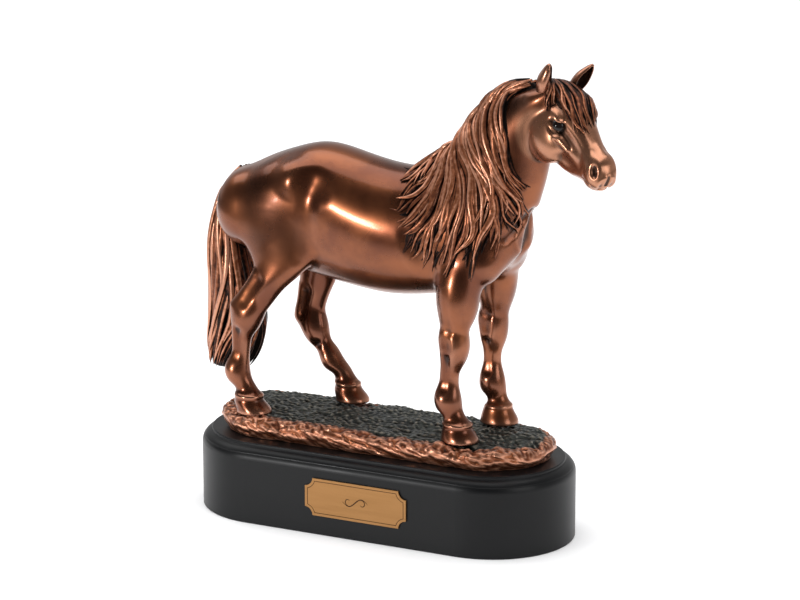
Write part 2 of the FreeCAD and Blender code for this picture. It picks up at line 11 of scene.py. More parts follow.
import bpy
import numpy as np
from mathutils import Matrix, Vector

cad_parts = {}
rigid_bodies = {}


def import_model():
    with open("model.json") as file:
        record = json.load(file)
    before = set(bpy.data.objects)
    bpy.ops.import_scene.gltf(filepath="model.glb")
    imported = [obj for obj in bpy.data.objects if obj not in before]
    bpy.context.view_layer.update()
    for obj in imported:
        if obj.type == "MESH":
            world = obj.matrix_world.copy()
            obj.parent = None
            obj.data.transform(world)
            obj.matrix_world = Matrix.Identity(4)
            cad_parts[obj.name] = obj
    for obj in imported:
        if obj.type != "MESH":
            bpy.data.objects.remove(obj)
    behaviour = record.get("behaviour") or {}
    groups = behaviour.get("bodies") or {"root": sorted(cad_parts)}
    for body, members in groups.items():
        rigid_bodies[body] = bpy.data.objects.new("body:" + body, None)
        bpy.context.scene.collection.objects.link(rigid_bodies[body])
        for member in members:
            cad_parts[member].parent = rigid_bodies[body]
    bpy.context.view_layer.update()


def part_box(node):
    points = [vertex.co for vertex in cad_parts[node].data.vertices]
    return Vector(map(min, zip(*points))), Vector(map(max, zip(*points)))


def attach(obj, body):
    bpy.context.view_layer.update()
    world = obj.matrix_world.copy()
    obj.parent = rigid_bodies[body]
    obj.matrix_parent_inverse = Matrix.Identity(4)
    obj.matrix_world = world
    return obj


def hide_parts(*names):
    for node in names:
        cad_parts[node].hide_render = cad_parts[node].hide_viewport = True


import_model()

MM = 0.001
ORIGIN = (0, 0, 0)
FRONT, LEFT, UP = (1, 0, 0), (0, 1, 0), (0, 0, 1)
MID_Y = 1.5  # the pony's middle plane
GROUND_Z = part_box("ground_casting")[1].z / MM  # top of the turf, where the hooves stand
FAR = 60.0  # a distance that stands for "not near anything"
CAVITY_REACH = 2.4  # how far away the hollows of a casting are felt
TURF_CAVITY_REACH = 1.6


# ---------------------------------------------------------------- curves and fields
def spline(keys, values, at):
    """A natural cubic spline through (keys, values), read at the given places."""
    keys = np.asarray(keys, float)
    values = np.asarray(values, float)
    gaps = np.diff(keys)
    count = len(keys)
    matrix = np.eye(count)
    right = np.zeros(count)
    for i in range(1, count - 1):
        matrix[i, i - 1] = gaps[i - 1]
        matrix[i, i] = 2 * (gaps[i - 1] + gaps[i])
        matrix[i, i + 1] = gaps[i]
        right[i] = 6 * ((values[i + 1] - values[i]) / gaps[i] - (values[i] - values[i - 1]) / gaps[i - 1])
    bend = np.linalg.solve(matrix, right)
    at = np.clip(at, keys[0], keys[-1])
    i = np.clip(np.searchsorted(keys, at) - 1, 0, count - 2)
    a = (keys[i + 1] - at) / gaps[i]
    b = 1 - a
    curve = ((a**3 - a) * bend[i] + (b**3 - b) * bend[i + 1]) * gaps[i] ** 2 / 6
    return a * values[i] + b * values[i + 1] + curve


def unit(vectors):
    """The rows of a table made one unit long."""
    return vectors / np.maximum(np.linalg.norm(vectors, axis=1), 1e-6)[:, None]


def run_along(path):
    """The distance gone at each place of a path."""
    return np.concatenate(([0], np.cumsum(np.linalg.norm(np.diff(path, axis=0), axis=1))))


def oval_distance(across, up, radius_across, radius_up):
    """Nearly the distance to an ellipse, for one point or many."""
    k0 = np.hypot(across / radius_across, up / radius_up)
    k1 = np.hypot(across / radius_across**2, up / radius_up**2)
    return k0 * (k0 - 1) / np.maximum(k1, 1e-6)


class Loft:
    """A body of egg-shaped sections along one direction.

    A station is: place along, high side, widest level, low side, half-width, sideways centre.
    """

    def __init__(self, origin, along, up, across, stations):
        self.origin, self.along, self.up, self.across = np.array([origin, along, up, across], float)
        self.stations = np.array(sorted(stations), float)
        corners = []
        for place, high, _, low, wide, centre in self.stations:
            for u in (high, low):
                for c in (centre - wide, centre + wide):
                    corners.append(self.origin + self.along * place + self.up * u + self.across * c)
        self.low = np.min(corners, 0)
        self.high = np.max(corners, 0)

    def distance(self, x, y, z):
        offsets = (x - self.origin[0], y - self.origin[1], z - self.origin[2])

        def part(direction):
            return sum(p * k for p, k in zip(offsets, direction) if k)

        t, up, across = part(self.along), part(self.up), part(self.across)
        keys = self.stations[:, 0]
        high, widest, low, wide, centre = (spline(keys, self.stations[:, i], t) for i in range(1, 6))
        rise = up - widest
        radius_up = np.where(rise > 0, np.maximum(high - widest, 0.5), np.maximum(widest - low, 0.5))
        flat = oval_distance(across - centre, rise, np.maximum(wide, 0.5), radius_up)
        beyond = np.maximum(keys[0] - t, t - keys[-1])
        return np.where(beyond > 0, np.hypot(np.maximum(flat, 0), beyond), flat)


class Ball:
    """An ellipsoid. turn is the tilt in degrees about the Y axis, which tips its nose down."""

    def __init__(self, centre, radii, turn=0.0, axes=None):
        self.centre = np.array(centre, float)
        self.radii = np.array(radii, float)
        c, s = math.cos(math.radians(turn)), math.sin(math.radians(turn))
        tilted = [[c, 0, -s], [0, 1, 0], [s, 0, c]]
        self.axes = np.array(tilted if axes is None else axes, float)
        reach = np.sqrt(((self.axes * self.radii[:, None]) ** 2).sum(0))
        self.low = self.centre - reach
        self.high = self.centre + reach

    def distance(self, x, y, z):
        p = (x - self.centre[0], y - self.centre[1], z - self.centre[2])
        k0 = 0
        k1 = 0
        for axis, radius in zip(self.axes, self.radii):
            q = (p[0] * axis[0] + p[1] * axis[1] + p[2] * axis[2]) / radius
            k0 = k0 + q * q
            k1 = k1 + (q / radius) ** 2
        k0 = np.sqrt(k0)
        return k0 * (k0 - 1) / np.maximum(np.sqrt(k1), 1e-6)


class Bone:
    """A straight round bar with a radius at each end."""

    def __init__(self, start, end, start_radius, end_radius=None):
        self.start = np.array(start, float)
        self.span = np.array(end, float) - self.start
        self.radii = (start_radius, start_radius if end_radius is None else end_radius)
        thick = max(self.radii)
        self.low = np.minimum(start, end) - thick
        self.high = np.maximum(start, end) + thick

    def distance(self, x, y, z):
        p = (x - self.start[0], y - self.start[1], z - self.start[2])
        along = (p[0] * self.span[0] + p[1] * self.span[1] + p[2] * self.span[2]) / (self.span @ self.span)
        along = np.clip(along, 0, 1)
        gap = 0
        for i in range(3):
            gap = gap + (p[i] - along * self.span[i]) ** 2
        return np.sqrt(gap) - (self.radii[0] + (self.radii[1] - self.radii[0]) * along)


def melt(a, b, blend):
    """Joins two distances with a soft fillet."""
    h = np.maximum(blend - np.abs(a - b), 0) / blend
    return np.minimum(a, b) - h * h * blend / 4


class Sculpture:
    """A list of forms that are added or carved in order, each in a named group."""

    def __init__(self):
        self.steps = []

    def add(self, group, form, blend):
        """Joins a form on with a fillet."""
        self.steps.append((1, group, form, blend))

    def carve(self, group, form, blend):
        """Takes a form away with a fillet."""
        self.steps.append((-1, group, form, blend))

    def distance(self, x, y, z):
        """The whole sculpture's distance on an open grid of x, y and z."""
        total = np.full(np.broadcast_shapes(x.shape, y.shape, z.shape), FAR, np.float32)
        for sign, _, form, blend in self.steps:
            window = form_window(form, blend + 6, x, y, z)
            if window is None:
                continue
            sx, sy, sz = window
            near = form.distance(x[sx], y[:, sy], z[:, :, sz])
            old = total[sx, sy, sz]
            total[sx, sy, sz] = melt(old, near, blend) if sign > 0 else -melt(-old, near, blend)
        return total

    def group_distance(self, groups, x, y, z):
        """The plain nearest distance to the added forms of some groups on an open grid."""
        total = np.full(np.broadcast_shapes(x.shape, y.shape, z.shape), FAR, np.float32)
        for sign, group, form, _ in self.steps:
            if sign < 0 or group not in groups:
                continue
            window = form_window(form, 12, x, y, z)
            if window is None:
                continue
            sx, sy, sz = window
            near = form.distance(x[sx], y[:, sy], z[:, :, sz])
            total[sx, sy, sz] = np.minimum(total[sx, sy, sz], near)
        return total


def form_window(form, margin, x, y, z):
    """The part of an open grid that lies near a form."""
    cuts = []
    for axis, low, high in zip((x.ravel(), y.ravel(), z.ravel()), form.low - margin, form.high + margin):
        first, last = np.searchsorted(axis, (low, high))
        if first >= last:
            return None
        cuts.append(slice(first, last))
    return cuts


class Grid:
    """A regular grid of places, as open x, y and z arrays."""

    def __init__(self, low, high, step):
        self.low = np.array(low, float)
        self.step = step
        counts = np.ceil((np.array(high, float) - self.low) / step).astype(int) + 1
        axes = [self.low[i] + step * np.arange(counts[i]) for i in range(3)]
        self.x, self.y, self.z = (a.astype(np.float32) for a in np.ix_(*axes))

    def read(self, values, points):
        """Reads grid values at any points, mixing the eight nearest."""
        places = (points - self.low) / self.step
        places = np.clip(places, 0, np.array(values.shape) - 1.001)
        base = places.astype(int)
        share = places - base
        total = np.zeros(len(points))
        for corner in range(8):
            offset = np.array([(corner >> i) & 1 for i in range(3)])
            weight = np.prod(np.where(offset, share, 1 - share), 1)
            i, j, k = (base + offset).T
            total += weight * values[i, j, k]
        return total

    def slope(self, values, points, reach):
        """The steepest direction of the values at the points."""
        parts = []
        for axis in range(3):
            offset = np.zeros(3)
            offset[axis] = reach
            parts.append(self.read(values, points + offset) - self.read(values, points - offset))
        return np.stack(parts, 1) / (2 * reach)


def skin(grid, values):
    """A quad mesh of the surface where the values change sign."""
    inside = values < 0
    counts = np.array(values.shape) - 1
    corners = [np.array([(c >> i) & 1 for i in range(3)]) for c in range(8)]
    touched = np.zeros(counts, np.int8)
    for c in corners:
        window = tuple(slice(o, o + n) for o, n in zip(c, counts))
        touched += inside[window]
    cells = np.argwhere((touched > 0) & (touched < 8))
    number = np.full(counts, -1, np.int32)
    number[tuple(cells.T)] = np.arange(len(cells))
    readings = [values[tuple((cells + c).T)] for c in corners]
    total = np.zeros((len(cells), 3))
    hits = np.zeros(len(cells))
    for first in range(8):
        for axis in range(3):
            second = first | (1 << axis)
            if second == first:
                continue
            a, b = readings[first], readings[second]
            crossed = (a < 0) != (b < 0)
            share = np.where(crossed, a / np.where(crossed, a - b, 1), 0)
            place = corners[first] + share[:, None] * (corners[second] - corners[first])
            total += place * crossed[:, None]
            hits += crossed
    points = grid.low + (cells + total / hits[:, None]) * grid.step
    faces = []
    for axis in range(3):
        ahead = np.roll(inside, -1, axis)
        crossed = inside != ahead
        keep = [slice(1, n) for n in counts]
        keep[axis] = slice(0, counts[axis])
        places = np.argwhere(crossed[tuple(keep)])
        places += [0 if i == axis else 1 for i in range(3)]
        one, two = [(i + axis + 1) % 3 for i in range(2)]
        ring = []
        for down_one, down_two in ((0, 0), (1, 0), (1, 1), (0, 1)):
            cell = places.copy()
            cell[:, one] -= down_one
            cell[:, two] -= down_two
            ring.append(number[tuple(cell.T)])
        quads = np.stack(ring, 1)
        from_inside = inside[tuple(places.T)]
        faces.append(np.where(from_inside[:, None], quads, quads[:, ::-1]))
    faces = np.concatenate(faces)
    return points, faces[(faces >= 0).all(1)]


def make_mesh(name, points, faces, normals=None, **values):
    """A mesh object from millimetre points and a list of faces. values are kept on each point."""
    mesh = bpy.data.meshes.new(name)
    mesh.from_pydata((np.asarray(points) * MM).tolist(), [], faces)
    mesh.update()
    mesh.shade_smooth()
    for key, numbers in values.items():
        layer = mesh.attributes.new(key, "FLOAT", "POINT")
        layer.data.foreach_set("value", np.asarray(numbers, np.float32))
    if normals is not None:
        mesh.normals_split_custom_set_from_vertices(normals.tolist())
    thing = bpy.data.objects.new(name, mesh)
    bpy.context.scene.collection.objects.link(thing)
    return thing


def place_piece(piece, node, material):
    """Puts a piece on the frame in the place of a CAD node, with a material."""
    piece.data.materials.append(material)
    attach(piece, "root")
    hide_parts(node)


def cavity(grid, values, points, reach):
    """How much higher than its surroundings a surface point is; negative in a hollow."""
    height = -grid.read(values, points)
    for axis in range(3):
        for side in (-reach, reach):
            offset = np.zeros(3)
            offset[axis] = side
            height = height + grid.read(values, points + offset) / 6
    return height


def cast(name, sculpture, low, high, step, region=None, floor=None):
    """Skins a sculpture, or the region of it where region is negative, down to the floor level."""
    grid = Grid(low, high, step * (1))
    whole = sculpture.distance(grid.x, grid.y, grid.z)
    if floor is not None:
        whole = np.maximum(whole, floor - grid.z)
    values = whole if region is None else np.maximum(whole, region(grid))
    points, faces = skin(grid, values)
    for _ in range(2):
        slope = grid.slope(values, points, grid.step * 0.7)
        size = np.maximum((slope**2).sum(1), 0.2)
        points = points - slope * (np.clip(grid.read(values, points), -0.4, 0.4) / size)[:, None]
    slope = grid.slope(whole, points, grid.step)
    cap = grid.slope(values, points, grid.step)
    on_skin = np.abs(grid.read(whole, points)) < 0.25 * grid.step
    normals = unit(np.where(on_skin[:, None], slope, cap))
    return make_mesh(name, points, faces.tolist(), normals, cavity=cavity(grid, whole, points, CAVITY_REACH))


# ---------------------------------------------------------------- the pony's body
def both_sides(place):
    """The same place on the right (-Y) and on the left."""
    x, off, z = place
    return ((-1, (x, MID_Y - off, z)), (1, (x, MID_Y + off, z)))


LEGS = {
    # y of the hoof, the way inwards, then z, x, half-depth, half-width and inward shift of each ring
    "foreleg_right": (-21.0, 1, [
        (176, 56.5, 14, 8, 5), (163, 56.8, 13.4, 9.5, 3), (150, 56.0, 12.6, 8.8, 1.4),
        (137, 55.6, 10.9, 7.4, 0.8), (127.5, 55.2, 8.4, 6.4, 0), (118.5, 54.9, 7.8, 6.6, 0),
        (110.5, 53.8, 6.9, 5.6, 0), (103.5, 52.4, 6.1, 4.6, 0), (94.5, 51.7, 6.3, 4.5, 0),
        (85.5, 52, 7.4, 5.8, 0), (79.5, 54, 6.6, 5.2, 0), (75.5, 56, 7, 5.8, 0), (72, 57.2, 8.8, 7.4, 0),
    ]),
    "foreleg_left": (25.0, -1, [
        (176, 60.5, 14, 8, 7), (163, 60.8, 13.2, 9.5, 4), (150, 60.4, 11.0, 8.6, 2),
        (140.5, 59.6, 9.5, 7.6, 1), (131, 59.4, 8.4, 6.6, 0), (121.5, 58.7, 7.7, 6.4, 0),
        (112, 58.6, 6.9, 5.8, 0), (105, 58.4, 5.8, 4.6, 0), (97.5, 58.4, 5.6, 4.4, 0),
        (88.5, 59.2, 6.6, 5.4, 0), (82, 60, 7, 5.6, 0), (77, 61.8, 6.4, 5.2, 0), (73, 62.8, 7.8, 6.8, 0),
    ]),
    "hindleg_right": (-22.5, 1, [
        (188, -72, 18, 7, 9), (176, -67, 23, 8.6, 6.5), (163, -61.5, 22, 8.6, 4.0),
        (150, -63, 15.6, 8.2, 2.6), (142, -68.5, 12.4, 7.2, 1.2), (135, -73.8, 11.6, 6.2, 0.4),
        (128.5, -79.6, 12.6, 5.8, 0), (122, -82.8, 10.5, 6.2, 0), (115, -84.9, 7.9, 5.8, 0),
        (104, -86.6, 6, 4.6, 0), (95, -87.5, 5.8, 4.5, 0), (87, -88.6, 6.8, 5.6, 0),
        (80.5, -86.2, 6.6, 5.4, 0), (76, -83.2, 6.8, 5.4, 0), (72, -81.9, 8.6, 7, 0),
    ]),
    "hindleg_left": (26.0, -1, [
        (188, -70, 18, 7, 9), (176, -64, 22, 8.6, 6.5), (163, -57, 21, 8.6, 4.0),
        (150, -56.4, 15, 8.2, 2.6), (138, -59.5, 12.4, 7.4, 0), (127.5, -62.2, 10.2, 6.4, 0),
        (119, -64.4, 9.3, 6, 0), (111.5, -65.8, 9.2, 6, 0), (103.5, -62.6, 7.8, 5.4, 0),
        (95.5, -57, 6.6, 4.6, 0), (88, -51, 6.4, 4.5, 0), (82, -45.6, 6.8, 5.6, 0),
        (77.5, -42, 6.3, 5.4, 0), (73, -40, 7.8, 6.4, 0),
    ]),
}
HOOVES = {
    # x of the coronet and of the sole, their half-depths, and the coronet's height
    "foreleg_right": (57.4, 58.9, 9.3, 11.6, 72.2),
    "foreleg_left": (62.3, 63.2, 9.6, 11.9, 72.2),
    "hindleg_right": (-81.8, -78.6, 9.2, 11.2, 72.4),
    "hindleg_left": (-39.4, -36.6, 8.8, 10.8, 72.4),
}


def upright(stations):
    """A loft that stands along Z, with the high side of its sections to the front."""
    return Loft(ORIGIN, UP, FRONT, LEFT, stations)


def leg_forms(pony, name):
    """One leg: its rings, and the hoof as a flared stump below the coronet."""
    y, inward, rings = LEGS[name]
    stations = [(z, x + deep, x, x - deep, wide, y + inward * shift) for z, x, deep, wide, shift in rings]
    pony.add(name, upright(stations), 7)
    top_x, sole_x, top_deep, sole_deep, coronet = HOOVES[name]
    low = GROUND_Z - 1.5
    hoof = [
        (low, sole_x + sole_deep, sole_x + 1, sole_x - sole_deep, sole_deep * 0.86, y),
        (GROUND_Z + 1, sole_x + sole_deep - 0.3, sole_x + 1, sole_x - sole_deep + 0.2, sole_deep * 0.85, y),
        (coronet - 4, top_x + top_deep + 0.5, top_x + 0.5, top_x - top_deep, top_deep * 0.88, y),
        (coronet - 0.5, top_x + top_deep - 1.2, top_x + 0.5, top_x - top_deep + 1.2, top_deep * 0.78, y),
    ]
    pony.add(name, upright(hoof), 3.5)


def leg_reader(rings, column):
    """A function that gives a number of the rings' at any height."""
    heights = [ring[0] for ring in rings][::-1]
    numbers = [ring[column] for ring in rings][::-1]
    return lambda z: float(spline(heights, numbers, np.array(z)))


def foreleg_details(pony, name):
    """The bones, tendons and joints of a foreleg."""
    y, _, rings = LEGS[name]
    x_at = leg_reader(rings, 1)
    lift = 2.0 if name == "foreleg_left" else 0.0
    knee = 118.5 + lift
    pony.add(name, Ball((x_at(knee) + 1.0, y, knee), (6.2, 6.0, 9.4)), 8)
    pony.add(name, Ball((x_at(knee + 5) - 5.6, y, knee + 5), (2.8, 3.0, 4.4)), 5)
    pony.add(name, Ball((x_at(85) - 2.6, y, 84.5 + lift), (3.9, 4.7, 5.8)), 9)
    for side in (-1, 1):
        out = y + side * 6.2
        tendon = Bone((x_at(110) - 1.6, out, 112), (x_at(94) - 1.2, out + side * 1.0, 94), 1.3, 1.0)
        pony.carve(name, tendon, 4.5)
        muscle_top, muscle_foot = (x_at(152) - 2.5, y + side * 12, 154), (x_at(128) - 1, y + side * 8.6, 130)
        pony.carve(name, Bone(muscle_top, muscle_foot, 2.2, 1.5), 5)
        pony.add(name, Ball((x_at(148) + 2.0, y + side * 3.2, 150), (8.0, 6.2, 15)), 9)
        pony.carve(name, Ball((x_at(knee) - 2.5, y + side * 8.6, knee + 1), (2.4, 1.6, 4.4)), 4.5)
    pony.carve(name, Bone((x_at(78) - 8.6, y - 3, 75.5), (x_at(78) - 8.6, y + 3, 75.5), 1.6), 4)


def hindleg_details(pony, name):
    """The tendons and joints of a hind leg."""
    y, _, rings = LEGS[name]
    x_at = leg_reader(rings, 1)
    depth_at = leg_reader(rings, 2)

    def back_at(z):
        return x_at(z) - depth_at(z)

    hock = 127.0 if name == "hindleg_right" else 110.0
    tendon_top, tendon_foot = ((back_at(z) + 3.2, y, z) for z in (hock + 20, hock + 1))
    pony.add(name, Bone(tendon_top, tendon_foot, 2.6, 3.3), 4)
    pony.add(name, Ball((x_at(hock - 5) + 2.0, y, hock - 5), (7.0, 6.2, 9.5)), 7)
    for side in (-1, 1):
        out = y + side * 7.6
        start = (back_at(hock + 18) + 6.6, out, hock + 18)
        end = (back_at(hock + 5) + 7.0, out + side * 1.0, hock + 5)
        pony.carve(name, Bone(start, end, 1.5, 1.0), 6)
        low_out = y + side * 6.1
        start = (x_at(hock - 15) - 1.6, low_out, hock - 15)
        pony.carve(name, Bone(start, (x_at(95) - 1.2, low_out + side * 1.0, 95), 1.3, 1.0), 4.5)
    pony.add(name, Ball((back_at(86) + 4.0, y, 86), (3.8, 4.5, 5.8)), 9)


BARREL = [
    # along X: x, top, widest level, bottom and half-width of the trunk
    (-108, 189, 182, 175, 4), (-104, 200, 184, 166, 9.5), (-95, 208, 189, 158, 16),
    (-78, 215.8, 196, 153, 23), (-60, 222.9, 200.5, 150, 27.3), (-43, 227.0, 201, 146, 29.2),
    (-22, 224.4, 192, 142.8, 31), (5, 219.2, 183, 140.6, 32.3), (30, 219, 180, 143.2, 31.3),
    (50, 219, 181, 148, 27.5), (67, 212, 183, 156, 23), (80.5, 203, 184, 165, 18.5),
    (88.5, 195, 185, 175, 11),
]
MUSCLES = [
    # x, distance from the middle plane, z, radii, tilt and blend of a swelling on each side
    (-78, 12.0, 186, (24, 14.0, 21), -8, 9),  # hindquarter
    (-93, 10.5, 184, (15, 13, 20), 8, 9),  # buttock
    (-61, 12.6, 184, (24, 15.2, 30), 4, 9),  # thigh
    (-48.5, 20.0, 208, (10.5, 8.5, 8.5), 0, 8),  # point of the hip
    (60, 15, 190, (19, 14.5, 30), 28, 9),  # shoulder
    (68.5, 17, 170, (14, 12, 14), 0, 8),  # point of the shoulder
    (74, 10, 181, (12, 11, 15), -14, 7),  # breast
]
NECK_ALONG = (0.616, 0, 0.788)
NECK_FRONT = (0.788, 0, -0.616)
NECK = [
    # place along the neck, throat side, widest level, crest side, half-width, centre
    (192, -40, -68, -112, 21, MID_Y), (206, -44.5, -72, -109.5, 20.5, MID_Y),
    (220, -49, -76, -109, 18.5, 1.0), (235, -53.8, -80, -107.2, 16, 0),
    (251, -60.5, -82, -103.8, 14, -2.2), (265, -65, -83, -98.6, 12.6, -4.6),
    (276, -67.5, -82, -92, 11.6, -7), (284, -70, -80, -86, 9.5, -8.5),
]


def body_sculpture():
    """The whole pony without its ears, eyes, hair and tail."""
    pony = Sculpture()
    pony.add("torso", Loft(ORIGIN, FRONT, UP, LEFT, [(*station, MID_Y) for station in BARREL]), 4)
    for name in LEGS:
        leg_forms(pony, name)
    for x, off, z, radii, turn, blend in MUSCLES:
        for _, place in both_sides((x, off, z)):
            pony.add("torso", Ball(place, radii, turn), blend)
    for _, place in both_sides((-35.5, 36.6, 208)):
        pony.carve("torso", Ball(place, (8, 8, 8)), 11)
    for side, place in both_sides((-37.8, 34.0, 201)):
        end = (-42.3, place[1] + side * -1.5, 160)
        pony.carve("torso", Bone(place, end, 3.2, 3.6), 7)
    for _, place in both_sides((37, 39, 170)):
        pony.carve("torso", Ball(place, (5, 9, 16), -20), 9)
    pony.add("neck", Loft(ORIGIN, NECK_ALONG, NECK_FRONT, LEFT, NECK), 9)
    pony.add("neck", Bone((99.5, -3.2, 240), (88, 0.5, 200), 6.0, 8), 5)
    pony.carve("torso", Bone((94, MID_Y, 196), (87, MID_Y, 166), 1.4, 2.4), 6)
    for side, place in both_sides((95.5, 3.5, 200)):
        pony.carve("torso", Bone(place, (87, MID_Y + side * 18.5, 186), 1.4, 1.6), 5)
    for name in LEGS:
        if name.startswith("fore"):
            foreleg_details(pony, name)
        else:
            hindleg_details(pony, name)
    head_forms(pony)
    return pony


# ---------------------------------------------------------------- the head
POLL = np.array((114.5, -6.0, 278.4))  # where the head sits on the neck
HEAD_TURN = math.radians(-33.5)  # the pony looks to its right
HEAD_DROP = math.radians(36)
TURN_COS, TURN_SIN = math.cos(HEAD_TURN), math.sin(HEAD_TURN)
DROP_COS, DROP_SIN = math.cos(HEAD_DROP), math.sin(HEAD_DROP)
HEAD_DOWN = np.array((TURN_COS * DROP_COS, TURN_SIN * DROP_COS, -DROP_SIN))
HEAD_OUT = np.array((TURN_COS * DROP_SIN, TURN_SIN * DROP_SIN, DROP_COS))
HEAD_LEFT = np.array((-TURN_SIN, TURN_COS, 0.0))


def head_point(down, left, out):
    """A place given down the face from the poll, to the pony's left, and out of the face."""
    return POLL + HEAD_DOWN * down + HEAD_LEFT * left + HEAD_OUT * out


def head_ball(down, left, out, radii, tilt=0.0):
    """An ellipsoid lined up with the head. tilt turns it in the side view, in degrees."""
    c, s = math.cos(math.radians(tilt)), math.sin(math.radians(tilt))
    axes = (HEAD_DOWN * c + HEAD_OUT * s, HEAD_LEFT, HEAD_OUT * c - HEAD_DOWN * s)
    return Ball(head_point(down, left, out), radii, axes=axes)


def head_bone(start, end, start_radius, end_radius=None):
    """A round bar between two places of the head."""
    return Bone(head_point(*start), head_point(*end), start_radius, end_radius)


# down, left and out: the neck bends away from the right jowl, and a groove shows behind it
JOWL_EDGE = [(-2, -15.5, -16), (-2.5, -15.5, -26), (2, -14.5, -35), (9, -11.5, -42)]
EYE = (24.4, 10.3, -8.5)  # down, sideways, out
NOSTRIL = (61.2, 6.7, -6.6)


def head_forms(pony):
    """The skull with its jowls, eye sockets, nose and mouth."""
    skull = [  # down the face: place, face side, widest level, jaw side, half-width, centre
        (-3, -6, -12, -20, 7, 0), (4, -1, -11, -30, 10.5, 0), (12, 1, -10, -36, 11.8, 0),
        (22, 1.8, -9.5, -39, 12.2, 0), (31, 1, -11, -37.5, 10.8, 0), (39, -0.8, -12.5, -35, 9.0, 0),
        (46, -2.6, -13, -30.5, 7.6, 0), (53.5, -3.2, -13, -26.2, 7.3, 0), (60, -3.6, -13, -23.4, 7.7, 0),
        (64, -4.8, -13, -21, 7.2, 0), (67.6, -7.4, -13.5, -18.2, 5.4, 0),
    ]
    pony.add("head", Loft(POLL, HEAD_DOWN, HEAD_OUT, HEAD_LEFT, skull), 3)
    for side in (-1, 1):
        pony.add("head", head_ball(15.5, side * 8.6, -25.5, (18.6, 8.6, 16.4), 15), 2.5)
        pony.carve("head", head_ball(41.5, side * 12, -23.5, (7.5, 4.4, 4.5), 25), 4)
        pony.carve("head", head_ball(38, side * 12.2, -8.2, (11, 3.4, 3.2), 3), 5)
        pony.add("head", head_bone((28.5, side * 11.5, -13.8), (38, side * 9.6, -14.6), 1.9, 1.1), 3)
        pony.add("head", head_bone((16, side * 4.2, -2.8), (48, side * 3.0, -5.6), 2.3, 1.8), 7)
        pony.carve("head", head_ball(24.8, side * 13.6, -8.6, (7.0, 4.2, 5.2), 8), 2.5)
        pony.add("head", head_ball(20.6, side * 11.6, -3.9, (5.8, 3.4, 2.3), -6), 2)
        pony.add("head", head_bone((19.6, side * 12.2, -13.0), (29.4, side * 10.6, -13.0), 0.9, 0.8), 1.5)
        down, aside, out = NOSTRIL
        pony.add("head", head_ball(down - 1.0, side * (aside - 3.0), out - 1.4, (4.4, 2.1, 5.6), 40), 8)
        pony.carve("head", head_ball(down + 1.2, side * (aside + 1.0), out - 0.8, (2.0, 2.9, 3.6), 46), 1.8)
        pony.carve("head", head_bone((68.6, side * 1.5, -16.6), (63.5, side * 6.8, -17.2), 0.6), 0.8)
        pony.carve("head", head_bone((63.5, side * 6.8, -17.2), (53.5, side * 7.6, -19.4), 0.6, 0.5), 0.8)
    edge = [head_point(*place) for place in JOWL_EDGE]
    for start, end in zip(edge, edge[1:]):
        pony.carve("head", Bone(start, end, 1.0), 2.5)
        pony.carve("neck", Bone(start, end, 1.8), 3)
    pony.add("head", head_ball(60, 0, -20.0, (6.0, 5.4, 3.4), 12), 2)
    pony.carve("head", head_bone((6, 0, -41.5), (40, 0, -33.5), 3.2, 2.0), 4)
    pony.carve("head", head_bone((68.6, 0, -6.5), (68.4, 0, -13.0), 0.7), 1.5)


EAR_OUTSIDE = [
    # share of the length, front, widest level, back and half-width
    (-0.1, 3.4, 0, -4.2, 4.8), (0.2, 4.2, 0, -5.0, 6.0), (0.45, 3.8, 0, -5.0, 6.0),
    (0.7, 2.6, 0, -3.8, 4.6), (0.88, 1.3, 0, -2.7, 2.9), (1, 0.3, -0.5, -1.6, 1.1),
]
EAR_INSIDE = [
    (0.05, 8, 2.0, -0.6, 2.4), (0.3, 9, 1.8, -2.8, 4.2), (0.55, 9, 1.4, -2.8, 4.1),
    (0.8, 7, 0.8, -1.5, 2.2), (0.94, 5, 0.5, -0.5, 0.9),
]


def ear_sculpture(base, tip, opening, breadth):
    """One ear: a leaf with a hollow towards its opening."""
    base, tip = head_point(*base), head_point(*tip)
    length = float(np.linalg.norm(tip - base))
    along = (tip - base) / length
    front = opening - along * (opening @ along)
    front /= np.linalg.norm(front)
    across = np.cross(along, front)

    def leaf(outline):
        stations = [(t * length, high, mid, low, wide * breadth, 0) for t, high, mid, low, wide in outline]
        return Loft(base, along, front, across, stations)

    ear = Sculpture()
    ear.add("ear", leaf(EAR_OUTSIDE), 1)
    ear.carve("ear", leaf(EAR_INSIDE), 0.8)
    return ear


EARS = {
    # base and tip as down, left, out, the way the hollow looks, and how broad the ear is
    "ear_right": ((-0.5, -9.5, -5), (-2, -11.2, 13.2), HEAD_DOWN + 1.2 * HEAD_LEFT, 1.0),
    "ear_left": ((0.5, 11, -6), (-0.6, 18.2, 10.4), HEAD_DOWN - 0.25 * HEAD_LEFT, 0.72),
}


def cast_small(node, finish, sculpture, margin, step, material):
    """Casts a sculpture that is no bigger than its first form and puts it in its place."""
    form = sculpture.steps[0][2]
    piece = cast(f"{node}_{finish}", sculpture, form.low - margin, form.high + margin, step)
    place_piece(piece, node, material)


def build_ears():
    """Both ears."""
    for node, (base, tip, opening, breadth) in EARS.items():
        ear = ear_sculpture(base, tip, opening, breadth)
        cast_small(node, "bronze", ear, 1.5, 0.35, BRONZE)


def build_eyes():
    """Eyeballs with a bulging cornea."""
    down, aside, out = EYE
    for node, side in (("eye_right", -1), ("eye_left", 1)):
        eye = Sculpture()
        eye.add("eye", head_ball(down, side * aside, out, (4.6, 3.7, 4.2)), 1)
        eye.add("eye", head_ball(down + 0.2, side * (aside + 1.2), out + 0.1, (3.1, 2.9, 2.9)), 0.8)
        cast_small(node, "glass", eye, 1.6, 0.22, EYE_GLASS)


BODY_GROUPS = ("torso", "neck", "head") + tuple(LEGS)


